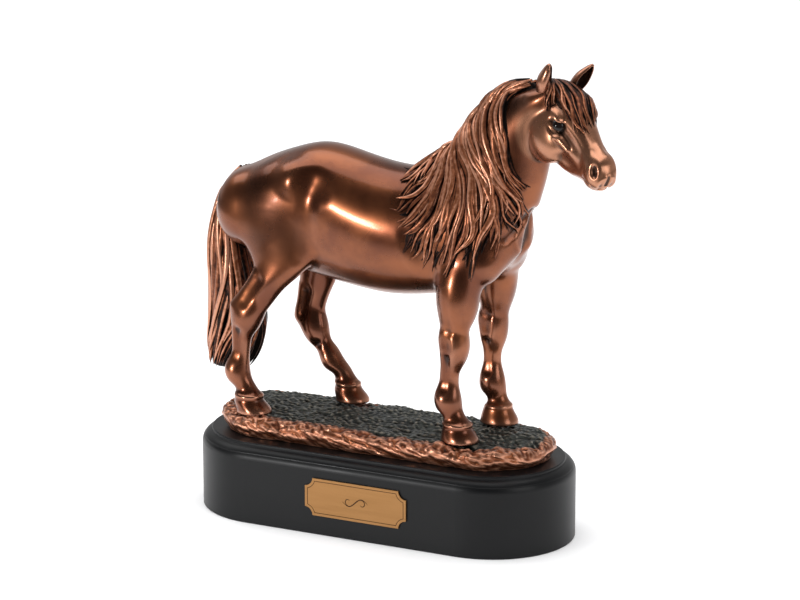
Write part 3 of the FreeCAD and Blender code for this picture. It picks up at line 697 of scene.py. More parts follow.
def own_region(sculpture, group, overlap=0.7):
    """Where a group's own forms are nearer than every other group's, and a little more."""

    def region(grid):
        own = sculpture.group_distance((group,), grid.x, grid.y, grid.z)
        others = tuple(g for g in BODY_GROUPS if g != group)
        rest = sculpture.group_distance(others, grid.x, grid.y, grid.z)
        return own - rest - overlap

    return region


def build_body():
    """Torso, neck and legs."""
    pony = body_sculpture()
    pieces = {
        "torso_casting": ("torso", (-114, -40, 134), (104, 43, 236), 0.8),
        "neck_casting": ("neck", (20, -36, 150), (126, 38, 292), 0.7),
        "head_casting": ("head", (96, -44, 216), (166, 20, 286), 0.42),
        "foreleg_right": ("foreleg_right", (38, -38, 58), (80, -4, 182), 0.5),
        "foreleg_left": ("foreleg_left", (42, 8, 58), (84, 42, 182), 0.5),
        "hindleg_right": ("hindleg_right", (-102, -40, 58), (-34, -4, 194), 0.5),
        "hindleg_left": ("hindleg_left", (-92, 8, 58), (-20, 42, 194), 0.5),
    }
    for node, (group, low, high, step) in pieces.items():
        piece = cast(node + "_bronze", pony, low, high, step, own_region(pony, group), floor=GROUND_Z - 0.8)
        place_piece(piece, node, BRONZE)
    return pony


# ---------------------------------------------------------------- hair
class Drape:
    """The pony's surface as a height map, seen along one direction, smoothed so that hair can lie on it."""

    def __init__(self, grid, values, origin, first, second, rise, ranges, top, bottom, soften):
        self.origin, self.first, self.second, self.rise = np.array([origin, first, second, rise], float)
        self.start = np.array((ranges[0][0], ranges[1][0]), float)
        a = np.arange(*ranges[0], 1.0)
        b = np.arange(*ranges[1], 1.0)
        self.shape = (len(a), len(b))
        aa, bb = np.meshgrid(a, b, indexing="ij")
        height = np.full(self.shape, np.nan)
        for level in np.arange(bottom, top, 0.5):
            points = self.spot(aa.ravel(), bb.ravel(), level)
            inside = grid.read(values, points).reshape(self.shape) < 0
            height[inside] = level
        self.height = fill_and_soften(height, soften)
        self.slopes = np.gradient(self.height)

    def spot(self, a, b, height):
        """The point over a place of the map."""
        a, b, height = (np.asarray(v, float)[..., None] for v in (a, b, height))
        return self.origin + self.first * a + self.second * b + self.rise * height

    def read(self, table, a, b):
        """The value of a table of the map's size at any places."""
        i = np.clip(np.asarray(a) - self.start[0], 0, self.shape[0] - 1.001)
        j = np.clip(np.asarray(b) - self.start[1], 0, self.shape[1] - 1.001)
        i0, j0 = i.astype(int), j.astype(int)
        u, v = i - i0, j - j0
        low = table[i0, j0] * (1 - v) + table[i0, j0 + 1] * v
        high = table[i0 + 1, j0] * (1 - v) + table[i0 + 1, j0 + 1] * v
        return low * (1 - u) + high * u

    def lay(self, a, b, lift):
        """Points that lie lift above the surface, and the outward direction there."""
        out = self.rise - self.first * self.read(self.slopes[0], a, b)[:, None]
        out = out - self.second * self.read(self.slopes[1], a, b)[:, None]
        out /= np.linalg.norm(out, axis=1)[:, None]
        return self.spot(a, b, self.read(self.height, a, b)) + out * np.asarray(lift)[:, None], out


def box_blur(table, reach):
    """The mean over a square of cells round each cell."""
    for axis in (0, 1):
        total = np.zeros_like(table)
        edge = [(0, 0), (0, 0)]
        edge[axis] = (reach, reach)
        wide = np.pad(table, edge, mode="edge")
        for k in range(2 * reach + 1):
            total += np.take(wide, np.arange(k, k + table.shape[axis]), axis)
        table = total / (2 * reach + 1)
    return table


def fill_and_soften(height, soften):
    """Fills the empty cells from their neighbours, then smooths the whole map."""
    known = ~np.isnan(height)
    filled = np.where(known, height, 0.0)
    weight = known.astype(float)
    for reach in (1, 2, 4, 8, 16, 32):
        near = box_blur(filled * weight, reach)
        share = box_blur(weight, reach)
        fresh = (weight == 0) & (share > 1e-6)
        filled = np.where(fresh, near / np.maximum(share, 1e-6), filled)
        weight = np.where(fresh, 1.0, weight)
    for _ in range(3):
        filled = box_blur(filled, soften)
    return filled


class Hair:
    """Locks of hair gathered into one mesh, with a number on each point that says how far it stands out,
    shifted by each lock's tone, which on the tail also holds painted shade.
    """

    SIDES = 12

    def __init__(self):
        self.points, self.faces, self.ridge = [], [], []
        self.count = 0

    def lock(self, centres, outward, width, thick, tone, ribs, phase):
        """One lock along the centres. width and thick are its half sizes; ribs are the strands in it."""
        ahead = unit(np.gradient(centres, axis=0))
        side = unit(np.cross(ahead, outward))
        up = np.cross(side, ahead)
        angle = np.arange(self.SIDES) * 2 * math.pi / self.SIDES
        rib = 1 + 0.09 * np.cos(ribs * angle[None] + phase + np.linspace(0, 2.2, len(centres))[:, None])
        across = np.cos(angle)[None] * rib * width[:, None]
        rise = np.sin(angle)[None] * rib * thick[:, None]
        rings = centres[:, None] + side[:, None] * across[..., None] + up[:, None] * rise[..., None]
        ridge = np.sin(angle)[None] * 0.85 + (rib - 1) * 2.5 + np.broadcast_to(tone, len(centres))[:, None]
        first = self.count
        rows, sides = len(centres), self.SIDES
        self.points.append(rings.reshape(-1, 3))
        self.ridge.append(ridge.reshape(-1))
        for row in range(rows - 1):
            for k in range(sides):
                a, b = first + row * sides + k, first + row * sides + (k + 1) % sides
                self.faces.append((a, a + sides, b + sides, b))
        self.faces.append(tuple(first + k for k in range(sides)))
        last = first + (rows - 1) * sides
        self.faces.append(tuple(last + k for k in range(sides))[::-1])
        self.count += rows * sides

    def mass(self, grid, values, tone):
        """A closed dark body under the locks."""
        points, faces = skin(grid, values)
        self.points.append(points)
        self.ridge.append(np.full(len(points), tone))
        self.faces.extend(tuple(f) for f in (faces + self.count).tolist())
        self.count += len(points)

    def place(self, node):
        """Puts all the locks in the place of a CAD node."""
        points, ridge = np.concatenate(self.points), np.concatenate(self.ridge)
        piece = make_mesh(f"{node}_hair", points, self.faces, ridge=ridge)
        place_piece(piece, node, BRONZE_HAIR)


def even_path(points, count):
    """A smooth curve through points, at evenly spaced places."""
    points = np.array(points, float)
    chord = run_along(points)
    fine = np.linspace(0, chord[-1], 200)
    curve = np.stack([spline(chord, points[:, i], fine) for i in range(points.shape[1])], 1)
    run = run_along(curve)
    at = np.linspace(0, run[-1], count)
    return np.stack([np.interp(at, run, curve[:, i]) for i in range(points.shape[1])], 1)


STEPS = 30  # places along each lock
SHARES = np.linspace(0, 1, STEPS)


def lock_paths(guides, number, rng):
    """A path for each of a number of locks that are spread over the guides."""
    for k in range(number):
        place = (k + rng.uniform(0.1, 0.9)) / number * (len(guides) - 1)
        yield between(guides, min(place, len(guides) - 1.001))


def between(guides, place):
    """The path at a place between neighbouring guides, 0 for the first one."""
    i = min(int(place), len(guides) - 2)
    share = place - i
    return guides[i] * (1 - share) + guides[i + 1] * share


def cut_path(path, start, end):
    """The stretch of a path from start to end, as shares of its length."""
    at = np.linspace(start, end, len(path)) * (len(path) - 1)
    return np.stack([np.interp(at, np.arange(len(path)), path[:, i]) for i in range(path.shape[1])], 1)


def moved_aside(path, distance):
    """The path with each place moved to its left by a distance."""
    ahead = unit(np.gradient(path, axis=0))
    return path + np.stack((-ahead[:, 1], ahead[:, 0]), 1) * distance[:, None]


def waved(path, rng, size, wavelength):
    """The path with a sideways wave that grows towards the tip."""
    swing = np.sin(run_along(path) / wavelength * 2 * math.pi + rng.uniform(0, 2 * math.pi))
    return moved_aside(path, swing * np.linspace(0.15, 1, len(path)) * size)


def curled(path, size):
    """The path with its last part bent aside."""
    bend = np.clip((np.linspace(0, 1, len(path)) - 0.72) / 0.28, 0, 1) ** 2
    return moved_aside(path, bend * size)


def taper(count, root, tip_power):
    """The share of a lock's width along it: thin root, full middle, pointed tip."""
    t = np.linspace(0, 1, count)
    return (root + (1 - root) * np.clip(t / 0.25, 0, 1) ** 0.7) * np.maximum(1 - t**tip_power, 0.03) ** 0.75


MANE_GUIDES = [
    # each is a line of x, z places from the crest to the tip, from the withers up to the ears
    [(45.8, 234.6), (37, 229.8), (29.5, 224.5), (24, 219.7), (18.5, 217), (15, 215)],
    [(47.3, 236.1), (40, 231.3), (34, 226.5), (30, 221), (25.5, 213.5), (19.5, 208.5)],
    [(48.3, 237.6), (42.5, 232.8), (38, 226), (33.5, 219), (27.5, 211.5), (19, 202.5)],
    [(49.3, 239.1), (45, 233.8), (42, 226), (39, 218), (32.3, 206), (21.5, 197.5)],
    [(50.3, 241.1), (47, 235.8), (44.5, 228), (42, 219), (39, 205), (31, 194), (19.5, 188.5)],
    [(51.3, 243.1), (48, 237.8), (46.5, 229), (45.6, 217), (43, 202), (35.4, 187.5), (24.5, 173)],
    [(52.8, 245.6), (49, 239.8), (49, 230), (50.5, 217.5), (48.4, 201), (42, 185), (32, 165)],
    [(54.8, 250.7), (50.5, 244), (50.8, 232), (54.4, 218), (55.2, 202), (51.7, 184), (46, 164)],
    [(57.3, 254.2), (52, 247.5), (51.5, 237), (56.5, 223), (62, 207), (59.7, 189), (56.6, 177), (51, 163.5)],
    [(60.8, 258.2), (54.5, 251.5), (52.5, 241), (60.4, 225.5), (67, 211), (68, 195), (63, 179.5),
     (60, 160.5)],
    [(64.8, 261.7), (58.5, 255), (54.5, 246), (62.3, 230), (70.8, 211), (72.7, 199), (69.4, 187),
     (64.5, 175)],
    [(69.8, 265.7), (62.5, 259.3), (57, 251), (61.5, 239.5), (69.8, 225), (78, 211.5), (78.7, 197),
     (73, 184.5), (67.7, 171), (64.5, 160.5)],
    [(74.8, 269.7), (66.5, 263), (60.5, 255), (63, 241), (74, 224), (80, 208), (81.2, 195), (78.4, 185),
     (77, 175)],
    [(79.8, 273.2), (70.5, 267), (63, 259), (63, 247), (68.5, 230.5), (80.6, 215), (83.8, 204), (83.7, 193.5),
     (85.6, 186), (84, 178)],
    [(85.8, 276.2), (75.5, 271), (67, 263.5), (65.8, 251), (71.6, 231), (81, 216.5), (86.8, 203.5),
     (91.5, 194)],
    [(90.8, 277.7), (80.5, 274), (72, 266), (70.5, 253), (75.7, 231.5), (82.2, 218.5), (89, 206),
     (90.5, 189)],
    [(96.8, 278.7), (86.5, 275.8), (77.5, 269.5), (75.4, 257), (80.6, 232), (87, 218), (93.4, 210.5),
     (94.5, 203)],
    [(101.8, 279.2), (93.5, 275.6), (85, 270.5), (79.2, 257), (84, 235), (89, 222.5), (96.5, 212.5)],
    [(105.8, 278.2), (98.5, 274.6), (90.5, 270.8), (83.6, 261.6), (85, 244), (88.4, 227), (94, 215.5)],
]
MANE_LAYERS = [
    # locks, lift, half-width range, half-thickness, shortest and longest share of the guide,
    # latest root, tone
    (64, -0.6, (1.9, 2.6), 1.3, (0.88, 0.99), 0.3, -0.55),
    (36, 0.5, (1.6, 2.3), 1.9, (0.88, 1.04), 0.25, -0.15),
    (27, 1.6, (1.6, 2.4), 2.1, (0.66, 1.02), 0.1, 0.0),
    (17, 2.5, (1.7, 2.6), 2.2, (0.62, 1.0), 0.03, 0.1),
]
CREST_WRAP = 9.0  # radius of the crest that the roots wrap over


def build_mane(drape):
    """The mane: layers of locks that start along the crest and fall over the right shoulder."""
    rng = random.Random(7)
    hair = Hair()
    guides = [even_path(guide, STEPS) for guide in MANE_GUIDES]
    t = SHARES
    for number, lift, widths, thick, lengths, latest, tone in MANE_LAYERS:
        for path in lock_paths(guides, number, rng):
            start = rng.uniform(0, latest)
            path = cut_path(path, start, rng.uniform(*lengths))
            path = waved(path, rng, rng.uniform(0.8, 2.4), rng.uniform(30, 50))
            path = curled(path, rng.uniform(-4.5, 4.5))
            rooted = np.clip((t * (1 - start) + start) / 0.3, 0, 1)
            height = lift * (1 - 0.5 * t) * rooted
            height = height + 0.8 * np.sin(t * rng.uniform(4, 10) + rng.uniform(0, 6)) * rooted
            height = height + 0.9 * np.clip((t - 0.88) / 0.12, 0, 1) - 0.8 * (1 - rooted)
            centres, outward = drape.lay(path[:, 0], path[:, 1], height)
            over = rng.uniform(0.5, 7.0) * np.clip(1 - (t * (1 - start) + start) / 0.22, 0, 1) ** 1.3
            centres[:, 1] += over
            centres[:, 2] -= over**2 / (2 * CREST_WRAP)
            outward[:, 1] += over / CREST_WRAP
            outward /= np.linalg.norm(outward, axis=1)[:, None]
            shape = taper(STEPS, 0.5, rng.uniform(3.5, 7.0))
            half = rng.uniform(*widths)
            ribs = rng.choice((3, 4, 5))
            hair.lock(centres, outward, half * shape, thick * shape**0.8, tone, ribs, rng.uniform(0, 6))
    hair.mass(*mane_mass(drape, guides), -1.0)
    hair.place("mane")


def mane_mass(drape, guides):
    """The dark underside of the mane as a sheet that follows the body a little inside the locks."""
    grid = Grid((12, -42, 158), (106, 10, 286), 1.0)
    paths = np.concatenate([cut_path(between(guides, i / 2), 0.08, 0.8) for i in range(2 * len(guides) - 1)])
    x, z = grid.x.ravel(), grid.z.ravel()
    reach = np.full((len(x), len(z)), FAR)
    for px, pz in paths:
        gap = np.hypot(x[:, None] - px, z[None] - pz)
        reach = np.minimum(reach, gap)
    level = drape.read(drape.height, np.repeat(x, len(z)), np.tile(z, len(x))).reshape(len(x), len(z))
    rise = -(grid.y - MID_Y)
    sheet = np.abs(rise - level[:, None, :] + 1.2) - 1.0
    return grid, np.maximum(sheet, (reach - 1.6)[:, None, :])


FORELOCK_GUIDES = [
    # lines of down, left places on the face, from the pony's right to its left
    [(-4, -6), (1, -9.5), (5, -11.5), (9, -12.5)],
    [(-4, -5), (3, -8.5), (8, -11), (13, -12)],
    [(-5, -3), (4, -6), (11, -8.5), (16, -10), (20, -9.5)],
    [(-5, -1.5), (6, -3.5), (17, -6.8), (28, -7), (36, -6.2), (45, -4.5)],
    [(-5, 0), (8, -0.5), (20, -3), (32, -4.8), (42, -3.5)],
    [(-5, 2), (6, 3), (15, 3), (29, 0), (40, -1)],
    [(-5, 4), (5, 7), (14, 8.5), (27, 5), (38, 3)],
    [(-4, 6), (4, 10), (13, 12), (24, 10.5), (33, 7.5)],
    [(-4, 7), (3, 11.5), (9, 13.5), (15, 14)],
]
FORELOCK_LAYERS = [
    # locks, lift, half-width, half-thickness, shortest and longest share of the guide, tone
    (24, 0.5, 1.6, 0.9, (0.75, 1.0), -0.45),
    (16, 1.4, 1.5, 1.2, (0.75, 1.0), -0.1),
    (10, 2.2, 1.6, 1.4, (0.75, 1.0), 0.1),
]


def build_forelock(drape):
    """The forelock: locks from between the ears down over the forehead."""
    rng = random.Random(19)
    hair = Hair()
    guides = [even_path(guide, STEPS) for guide in FORELOCK_GUIDES]
    t = SHARES
    for number, lift, half, thick, lengths, tone in FORELOCK_LAYERS:
        for path in lock_paths(guides, number, rng):
            path = cut_path(path, 0, rng.uniform(*lengths))
            path = waved(path, rng, rng.uniform(0.3, 0.8), rng.uniform(14, 24))
            swell = 1.3 * np.clip(path[:, 1] / 8, 0, 1) * np.sin(t * math.pi)
            height = lift * (1 - 0.5 * t) + 0.4 * np.sin(t * 5 + rng.uniform(0, 6)) * t
            height = height + 1.2 * (1 - t) ** 4 + swell
            centres, outward = drape.lay(path[:, 0], path[:, 1], height)
            shape = taper(STEPS, 0.6, rng.uniform(2.0, 3.5))
            size = rng.uniform(0.75, 1.25)
            shaded = tone - 0.55 * (1 - t) ** 1.3
            ribs = rng.choice((2, 3))
            width, thickness = half * size * shape, thick * size * shape
            hair.lock(centres, outward, width, thickness, shaded, ribs, rng.uniform(0, 6))
    hair.place("forelock")


TAIL_Y = 3.5
TAIL_STATIONS = [
    # z, rear, front, half-width
    (207, -100, -92, 5), (197, -109, -95, 8), (182, -116, -99, 9.5), (165, -120, -99, 10.5),
    (145, -122, -94, 11.5), (127, -122, -88.0, 11.5), (110, -122.5, -85.5, 11), (95, -123, -89.5, 10.5),
    (86, -123, -94, 10), (80.5, -123, -98, 9),
]
TAIL_LAYERS = [
    # locks, lift, half-width range, tone
    (30, -1.4, (2.2, 3.0), -0.5), (26, -0.6, (1.7, 2.5), -0.15), (17, 0.4, (1.6, 2.3), 0.05),
]
TAIL_STEPS = 44
TAIL_CORE_DEPTH = 1.8  # how far the core lies inside the tail


def tail_surface(z, angle, lift):
    """A place on the tail's outside. angle runs round it, 0 in front and 90 degrees on its left."""
    keys, rears, fronts, wides = np.array(TAIL_STATIONS[::-1], float).T
    rear, front, wide = (spline(keys, v, z) for v in (rears, fronts, wides))
    deep, middle = (front - rear) / 2, (front + rear) / 2
    place = np.stack((middle + np.cos(angle) * (deep + lift), TAIL_Y + np.sin(angle) * (wide + lift), z), 1)
    out = np.stack((np.cos(angle) * wide, np.sin(angle) * deep, np.zeros_like(z)), 1)
    return place, out / np.linalg.norm(out, axis=1)[:, None]


def build_tail():
    """The tail: long locks that sweep round a dark core."""
    rng = random.Random(31)
    hair = Hair()
    for number, lift, widths, tone in TAIL_LAYERS:
        for k in range(number):
            angle = (k + rng.uniform(0, 1)) / number * 2 * math.pi
            top = rng.uniform(200, 207) if lift < 0 else rng.uniform(190, 207)
            bottom = rng.uniform(80.5, 84) if rng.random() < 0.75 else rng.uniform(88, 125)
            z = np.linspace(top, bottom, TAIL_STEPS)
            t = (206 - z) / 125
            swing = -0.9 * np.sin(t * 3.6 + 0.3) * np.sin(angle + 0.4) + rng.uniform(-0.4, 0.4) * t
            swing = swing + rng.uniform(0.08, 0.18) * np.sin(t * rng.uniform(6, 11) + rng.uniform(0, 6))
            rise = lift + 0.7 * np.sin(t * rng.uniform(5, 12) + rng.uniform(0, 6))
            centres, outward = tail_surface(z, angle + swing, rise)
            shape = taper(TAIL_STEPS, 0.5, rng.uniform(6, 14))
            half = rng.uniform(*widths)
            # painted shade: locks on the tail's front side, towards the hind legs, are darker
            shaded = tone - 0.45 * math.cos(angle)
            ribs = rng.choice((3, 4, 5))
            hair.lock(centres, outward, half * shape, half * 0.72 * shape, shaded, ribs, rng.uniform(0, 6))
    core = Sculpture()
    inset = TAIL_CORE_DEPTH
    core.add("tail", upright([
        (z, front - inset, (front + rear) / 2, rear + inset, wide - inset, TAIL_Y)
        for z, rear, front, wide in TAIL_STATIONS
    ]), 1)
    grid = Grid((-128, -10, 79), (-78, 17, 208), 1.2)
    hair.mass(grid, core.distance(grid.x, grid.y, grid.z), -1.0)
    hair.place("tail")


# ---------------------------------------------------------------- the ground
LATTICE = np.random.default_rng(5).random((48, 48, 48))


def rough(x, y, z, seed=0):
    """Smooth random values between 0 and 1 with features one unit wide."""
    x, y, z = np.broadcast_arrays(x + seed * 7.31, y + seed * 3.17, z + seed * 5.73)
    parts = []
    for v in (x, y, z):
        base = np.floor(v)
        share = v - base
        parts.append((base.astype(int) % 48, (base.astype(int) + 1) % 48, share * share * (3 - 2 * share)))
    total = 0
    for i in (0, 1):
        for j in (0, 1):
            for k in (0, 1):
                weight = 1
                for bit, part in zip((i, j, k), parts):
                    weight = weight * (part[2] if bit else 1 - part[2])
                total = total + weight * LATTICE[parts[0][i], parts[1][j], parts[2][k]]
    return total


def crest(value):
    """Sharp ridges where a random value crosses its middle."""
    return 1 - np.abs(2 * value - 1)


GROUND_CORE = 70.0  # half of the straight length between the round ends
GROUND_RADIUS = 37.0
GROUND_FOOT = 48.8
RIM_START = 34.5  # where the rocky rim takes over from the turf, on the far side


def oval_reach(x, y):
    """Distance from the line that joins the centres of the ground's round ends."""
    return np.hypot(np.maximum(np.abs(x) - GROUND_CORE, 0), y)


def build_ground():
    """The casting of trodden turf with a rocky rim."""
    grid = Grid((-110, -40, GROUND_FOOT - 1), (110, 40, GROUND_Z + 5), 0.66)
    x, y, z = grid.x, grid.y, grid.z
    reach = oval_reach(x, y)
    bend = 3.0 * rough(x / 22, y / 22, 0, 9)
    strokes = crest(rough(x / 8 + bend, y / 2.6, 0, 1)) * 0.6
    strokes = strokes + crest(rough((x + y) / 3.4, (y - x) / 9 + bend, 0, 2)) * 0.5
    pits = rough(x / 1.9, y / 1.9, 0, 3)
    swell = rough(x / 24, y / 17, 0, 4) - 0.5
    near_rim = np.clip((reach - 20) / 14, 0, 1)
    top = GROUND_Z - 1.5 + 2.6 * (strokes - 0.6) + 1.4 * (pits - 0.6) + 3.0 * swell
    top = top + near_rim * (1.4 * rough(x / 11, y / 11, 0, 5) - 0.8) - 1.2 * np.clip((reach - 31) / 6, 0, 1)
    top = top - 1.3 * np.clip((y - 8) / 12, 0, 1) * np.clip((x + 110) / 30, 0, 1)
    along = x + 0.8 * z
    layers = rough(along / 16, y / 16, (z + 0.16 * x) / 3.4, 6)
    layers = layers + 0.5 * rough(along / 8, y / 8, (z - 0.2 * x) / 2.2, 7)
    chips = crest(rough(along / 6, y / 6, (z + 0.3 * x) / 2.0, 8))
    low = np.clip((GROUND_FOOT + 6.5 - z) / 6.5, 0, 1)
    side = reach - (GROUND_RADIUS - 3.6 * low**1.4) - 2.6 * (layers - 0.75) - 1.1 * (chips - 0.5)
    values = -melt(-side, -(z - top), 4.0)
    pebble = Ball((50, -30.5, 59.5), (4.2, 3.2, 3.4)).distance(x, y, z)
    values = melt(values, pebble, 1.0)
    values = np.maximum(values, GROUND_FOOT + 0.05 - z)
    values = np.ascontiguousarray(np.broadcast_to(values, (x.size, y.size, z.size)), dtype=np.float32)
    points, faces = skin(grid, values)
    edge = oval_reach(points[:, 0], points[:, 1])
    front = np.clip((-points[:, 1] - 8) / 14, 0, 1)
    inner = RIM_START - 8.5 * front - 5 * np.clip((np.abs(points[:, 0]) - 78) / 14, 0, 1)
    rim = np.clip((edge - inner) / 6, 0, 1)
    rim = np.where(points[:, 2] < GROUND_Z - 3.5, 1, rim)
    hollow = cavity(grid, values, points, TURF_CAVITY_REACH)
    piece = make_mesh("ground_turf", points, faces.tolist(), cavity=hollow, rim=rim)
    place_piece(piece, "ground_casting", TURF)


# ---------------------------------------------------------------- materials
class NodeTree:
    """Short ways to add nodes to a tree."""

    def __init__(self, tree):
        self.tree = tree

    def node(self, kind, **inputs):
        """A node with some of its inputs fed by their names."""
        made = self.tree.nodes.new(kind)
        for key, value in inputs.items():
            self.feed(made.inputs[key.replace("_", " ")], value)
        return made

    def feed(self, socket, value):
        """Links a socket to another one, or gives it a value."""
        if isinstance(value, bpy.types.NodeSocket):
            self.tree.links.new(value, socket)
        else:
            socket.default_value = value

    def attribute(self, name):
        """The number that the points keep under a name."""
        made = self.tree.nodes.new("ShaderNodeAttribute")
        made.attribute_name = name
        return made.outputs["Fac"]

    def math(self, kind, *numbers):
        """The result of one operation on up to three numbers."""
        made = self.tree.nodes.new("ShaderNodeMath")
        made.operation = kind
        for socket, number in zip(made.inputs, numbers):
            self.feed(socket, number)
        return made.outputs[0]

    def coordinates(self, kind="Object"):
        """Where the shaded place is."""
        return self.node("ShaderNodeTexCoord").outputs[kind]

    def split(self, vector):
        """The three outputs of a vector, by their names."""
        return self.node("ShaderNodeSeparateXYZ", Vector=vector).outputs

    def nearness(self, points, inner, outer, most):
        """How near a place is to given points, all in mm: most inside, none past outer."""
        nearest = 1.0
        for point in points:
            gap = self.node("ShaderNodeVectorMath")
            gap.operation = "DISTANCE"
            self.feed(gap.inputs[0], self.coordinates())
            gap.inputs[1].default_value = [MM * value for value in point]
            nearest = self.math("MINIMUM", nearest, gap.outputs["Value"])
        return self.remap(nearest, inner * MM, outer * MM, most, 0)

    def remap(self, value, low, high, to_low=0.0, to_high=1.0):
        """A smooth step from one value to another."""
        made = self.node("ShaderNodeMapRange")
        made.interpolation_type = "SMOOTHSTEP"
        for socket, number in zip(made.inputs, (value, low, high, to_low, to_high)):
            self.feed(socket, number)
        return made.outputs[0]

    def mix(self, share, first, second, blend="MIX"):
        """A share of the second colour over the first one."""
        made = self.tree.nodes.new("ShaderNodeMix")
        made.data_type = "RGBA"
        made.blend_type = blend
        self.feed(made.inputs[0], share)
        for socket, colour in ((made.inputs[6], first), (made.inputs[7], second)):
            self.feed(socket, colour if isinstance(colour, bpy.types.NodeSocket) else (*colour, 1))
        return made.outputs[2]

    def noise(self, scale, detail=3.0, stretch=(1, 1, 1), rough_share=0.5):
        """Noise in object space. scale is in features per metre."""
        shape = self.node("ShaderNodeMapping", Vector=self.coordinates())
        shape.inputs["Scale"].default_value = stretch
        made = self.node("ShaderNodeTexNoise", Scale=scale, Detail=detail, Roughness=rough_share)
        self.feed(made.inputs["Vector"], shape.outputs[0])
        return made.outputs["Fac"]

    def enclosure(self, distance, open_share, closed_share, most=1):
        """How closed in a place is: most where little is open, none where much is."""
        shade = self.node("ShaderNodeAmbientOcclusion", Distance=distance)
        shade.samples = 6
        return self.remap(shade.outputs["AO"], closed_share, open_share, most, 0)

    def grey_ramp(self, socket, stops):
        """A grey that eases from stop to stop."""
        made = self.node("ShaderNodeValToRGB")
        self.feed(made.inputs[0], socket)
        made.color_ramp.interpolation = "EASE"
        while len(made.color_ramp.elements) < len(stops):
            made.color_ramp.elements.new(0.5)
        for element, (at, grey) in zip(made.color_ramp.elements, stops):
            element.position = at
            element.color = (grey, grey, grey, 1)
        return made.outputs[0]


class Nodes(NodeTree):
    """A new material and short ways to build it."""

    def __init__(self, name):
        self.material = bpy.data.materials.new(name)
        self.material.use_nodes = True
        super().__init__(self.material.node_tree)
        self.main = self.tree.nodes["Principled BSDF"]

    def bump(self, height, distance, strength=1.0):
        """Unevenness that shows only in the light."""
        made = self.node("ShaderNodeBump", Height=height, Distance=distance, Strength=strength)
        self.feed(self.main.inputs["Normal"], made.outputs[0])

    def set(self, **values):
        """Feeds the main inputs and gives the finished material."""
        for key, value in values.items():
            socket = self.main.inputs[key.replace("_", " ")]
            if isinstance(value, tuple):
                value = (*value, 1)
            self.feed(socket, value)
        return self.material


COPPER_BRIGHT = (0.60, 0.28, 0.175)
COPPER = (0.28, 0.092, 0.038)
COPPER_DEEP = (0.15, 0.046, 0.022)
PATINA = (0.012, 0.008, 0.007)
COPPER_PAINTED_LIGHT = (0.54, 0.25, 0.145)
COPPER_SHADED = (0.075, 0.028, 0.015)
# points in the head round which the copper is painted lighter, as painted light on the face
FACE_PLACES = [(17, -9, -25), (28, -7, -20), (30, -6, -10), (44, -5, -14), (56, -4, -14), (66, -4, -14)]
PAINTED_LIGHT_FACE = [head_point(*place) for place in FACE_PLACES]
# points beside the neck, and in the middle of each thigh, round which the copper is darkened with painted
# shade
PAINTED_SHADE_NECK = [head_point(*place) for place in ((-12, -14, -26), (-12, -14, -38), (-10, -13, -52))]
PAINTED_SHADE_THIGHS = [(x, MID_Y + side * 27, z) for side in (-1, 1) for x, z in ((-70, 192), (-62, 174))]


def bronze():
    """Polished copper bronze with brown patina in the hollows, painted shade in places that other parts close
    in, beside the neck and on the thighs, and painted light on the face.
    """
    m = Nodes("copper_bronze")
    cloud = m.noise(34, 4)
    fine = m.noise(260, 3)
    tone = m.mix(m.remap(cloud, 0.35, 0.68), COPPER_DEEP, COPPER)
    hollow = m.attribute("cavity")
    raised = m.remap(hollow, 0.02, 0.5)
    tone = m.mix(m.math("MULTIPLY", raised, 0.6), tone, COPPER_BRIGHT)
    # painted shade: darker copper beside the neck and on the thighs
    tone = m.mix(m.nearness(PAINTED_SHADE_NECK, 8, 30, 0.9), tone, COPPER_SHADED)
    tone = m.mix(m.nearness(PAINTED_SHADE_THIGHS, 8, 28, 0.75), tone, COPPER_SHADED)
    # painted light: brighter copper on the face
    tone = m.mix(m.nearness(PAINTED_LIGHT_FACE, 15, 19.5, 0.75), tone, COPPER_PAINTED_LIGHT)
    closed = m.enclosure(0.009, 0.85, 0.2)
    sunk = m.remap(m.math("ADD", hollow, m.math("MULTIPLY", fine, 0.08)), -0.26, 0.03, 1, 0)
    # painted shade in places that other parts close in, as between the legs
    painted_shade_sheltered = m.enclosure(0.035, 0.8, 0.25, 0.45)
    dark = m.math("ADD", m.math("MULTIPLY", closed, 0.6), m.math("MULTIPLY", sunk, 0.8))
    dark = m.math("MINIMUM", m.math("ADD", dark, painted_shade_sheltered), 0.94)
    colour = m.mix(dark, tone, PATINA)
    brushed = m.noise(900, 2, (1, 1, 0.12))
    m.bump(m.math("ADD", m.math("MULTIPLY", brushed, 0.5), fine), 0.00004, 0.35)
    rough_value = m.math("ADD", m.remap(cloud, 0.3, 0.7, 0.24, 0.31), m.math("MULTIPLY", dark, 0.18))
    m.set(Coat_Weight=0.35, Coat_Roughness=0.1)
    return m.set(Base_Color=colour, Metallic=0.96, Roughness=rough_value)


def bronze_hair():
    """Hair in bronze: black between the strands and copper on their tops."""
    m = Nodes("copper_bronze_hair")
    grain = m.noise(420, 3)
    ridge = m.math("ADD", m.attribute("ridge"), m.math("MULTIPLY", m.math("SUBTRACT", grain, 0.5), 0.7))
    closed = m.enclosure(0.004, 0.75, 0.15)
    ridge = m.math("SUBTRACT", ridge, m.math("MULTIPLY", closed, 0.7))
    tone = m.mix(m.remap(ridge, 0.2, 0.6), PATINA, COPPER_DEEP)
    tone = m.mix(m.remap(ridge, 0.5, 0.8), tone, COPPER)
    tone = m.mix(m.remap(ridge, 0.72, 1.05), tone, COPPER_BRIGHT)
    m.bump(m.noise(700, 3, (1, 1, 0.3)), 0.0001, 0.4)
    metallic, rough_value = m.remap(ridge, 0.0, 0.8, 0.95, 0.7), m.remap(ridge, -0.2, 0.7, 0.45, 0.3)
    return m.set(Base_Color=tone, Metallic=metallic, Roughness=rough_value)


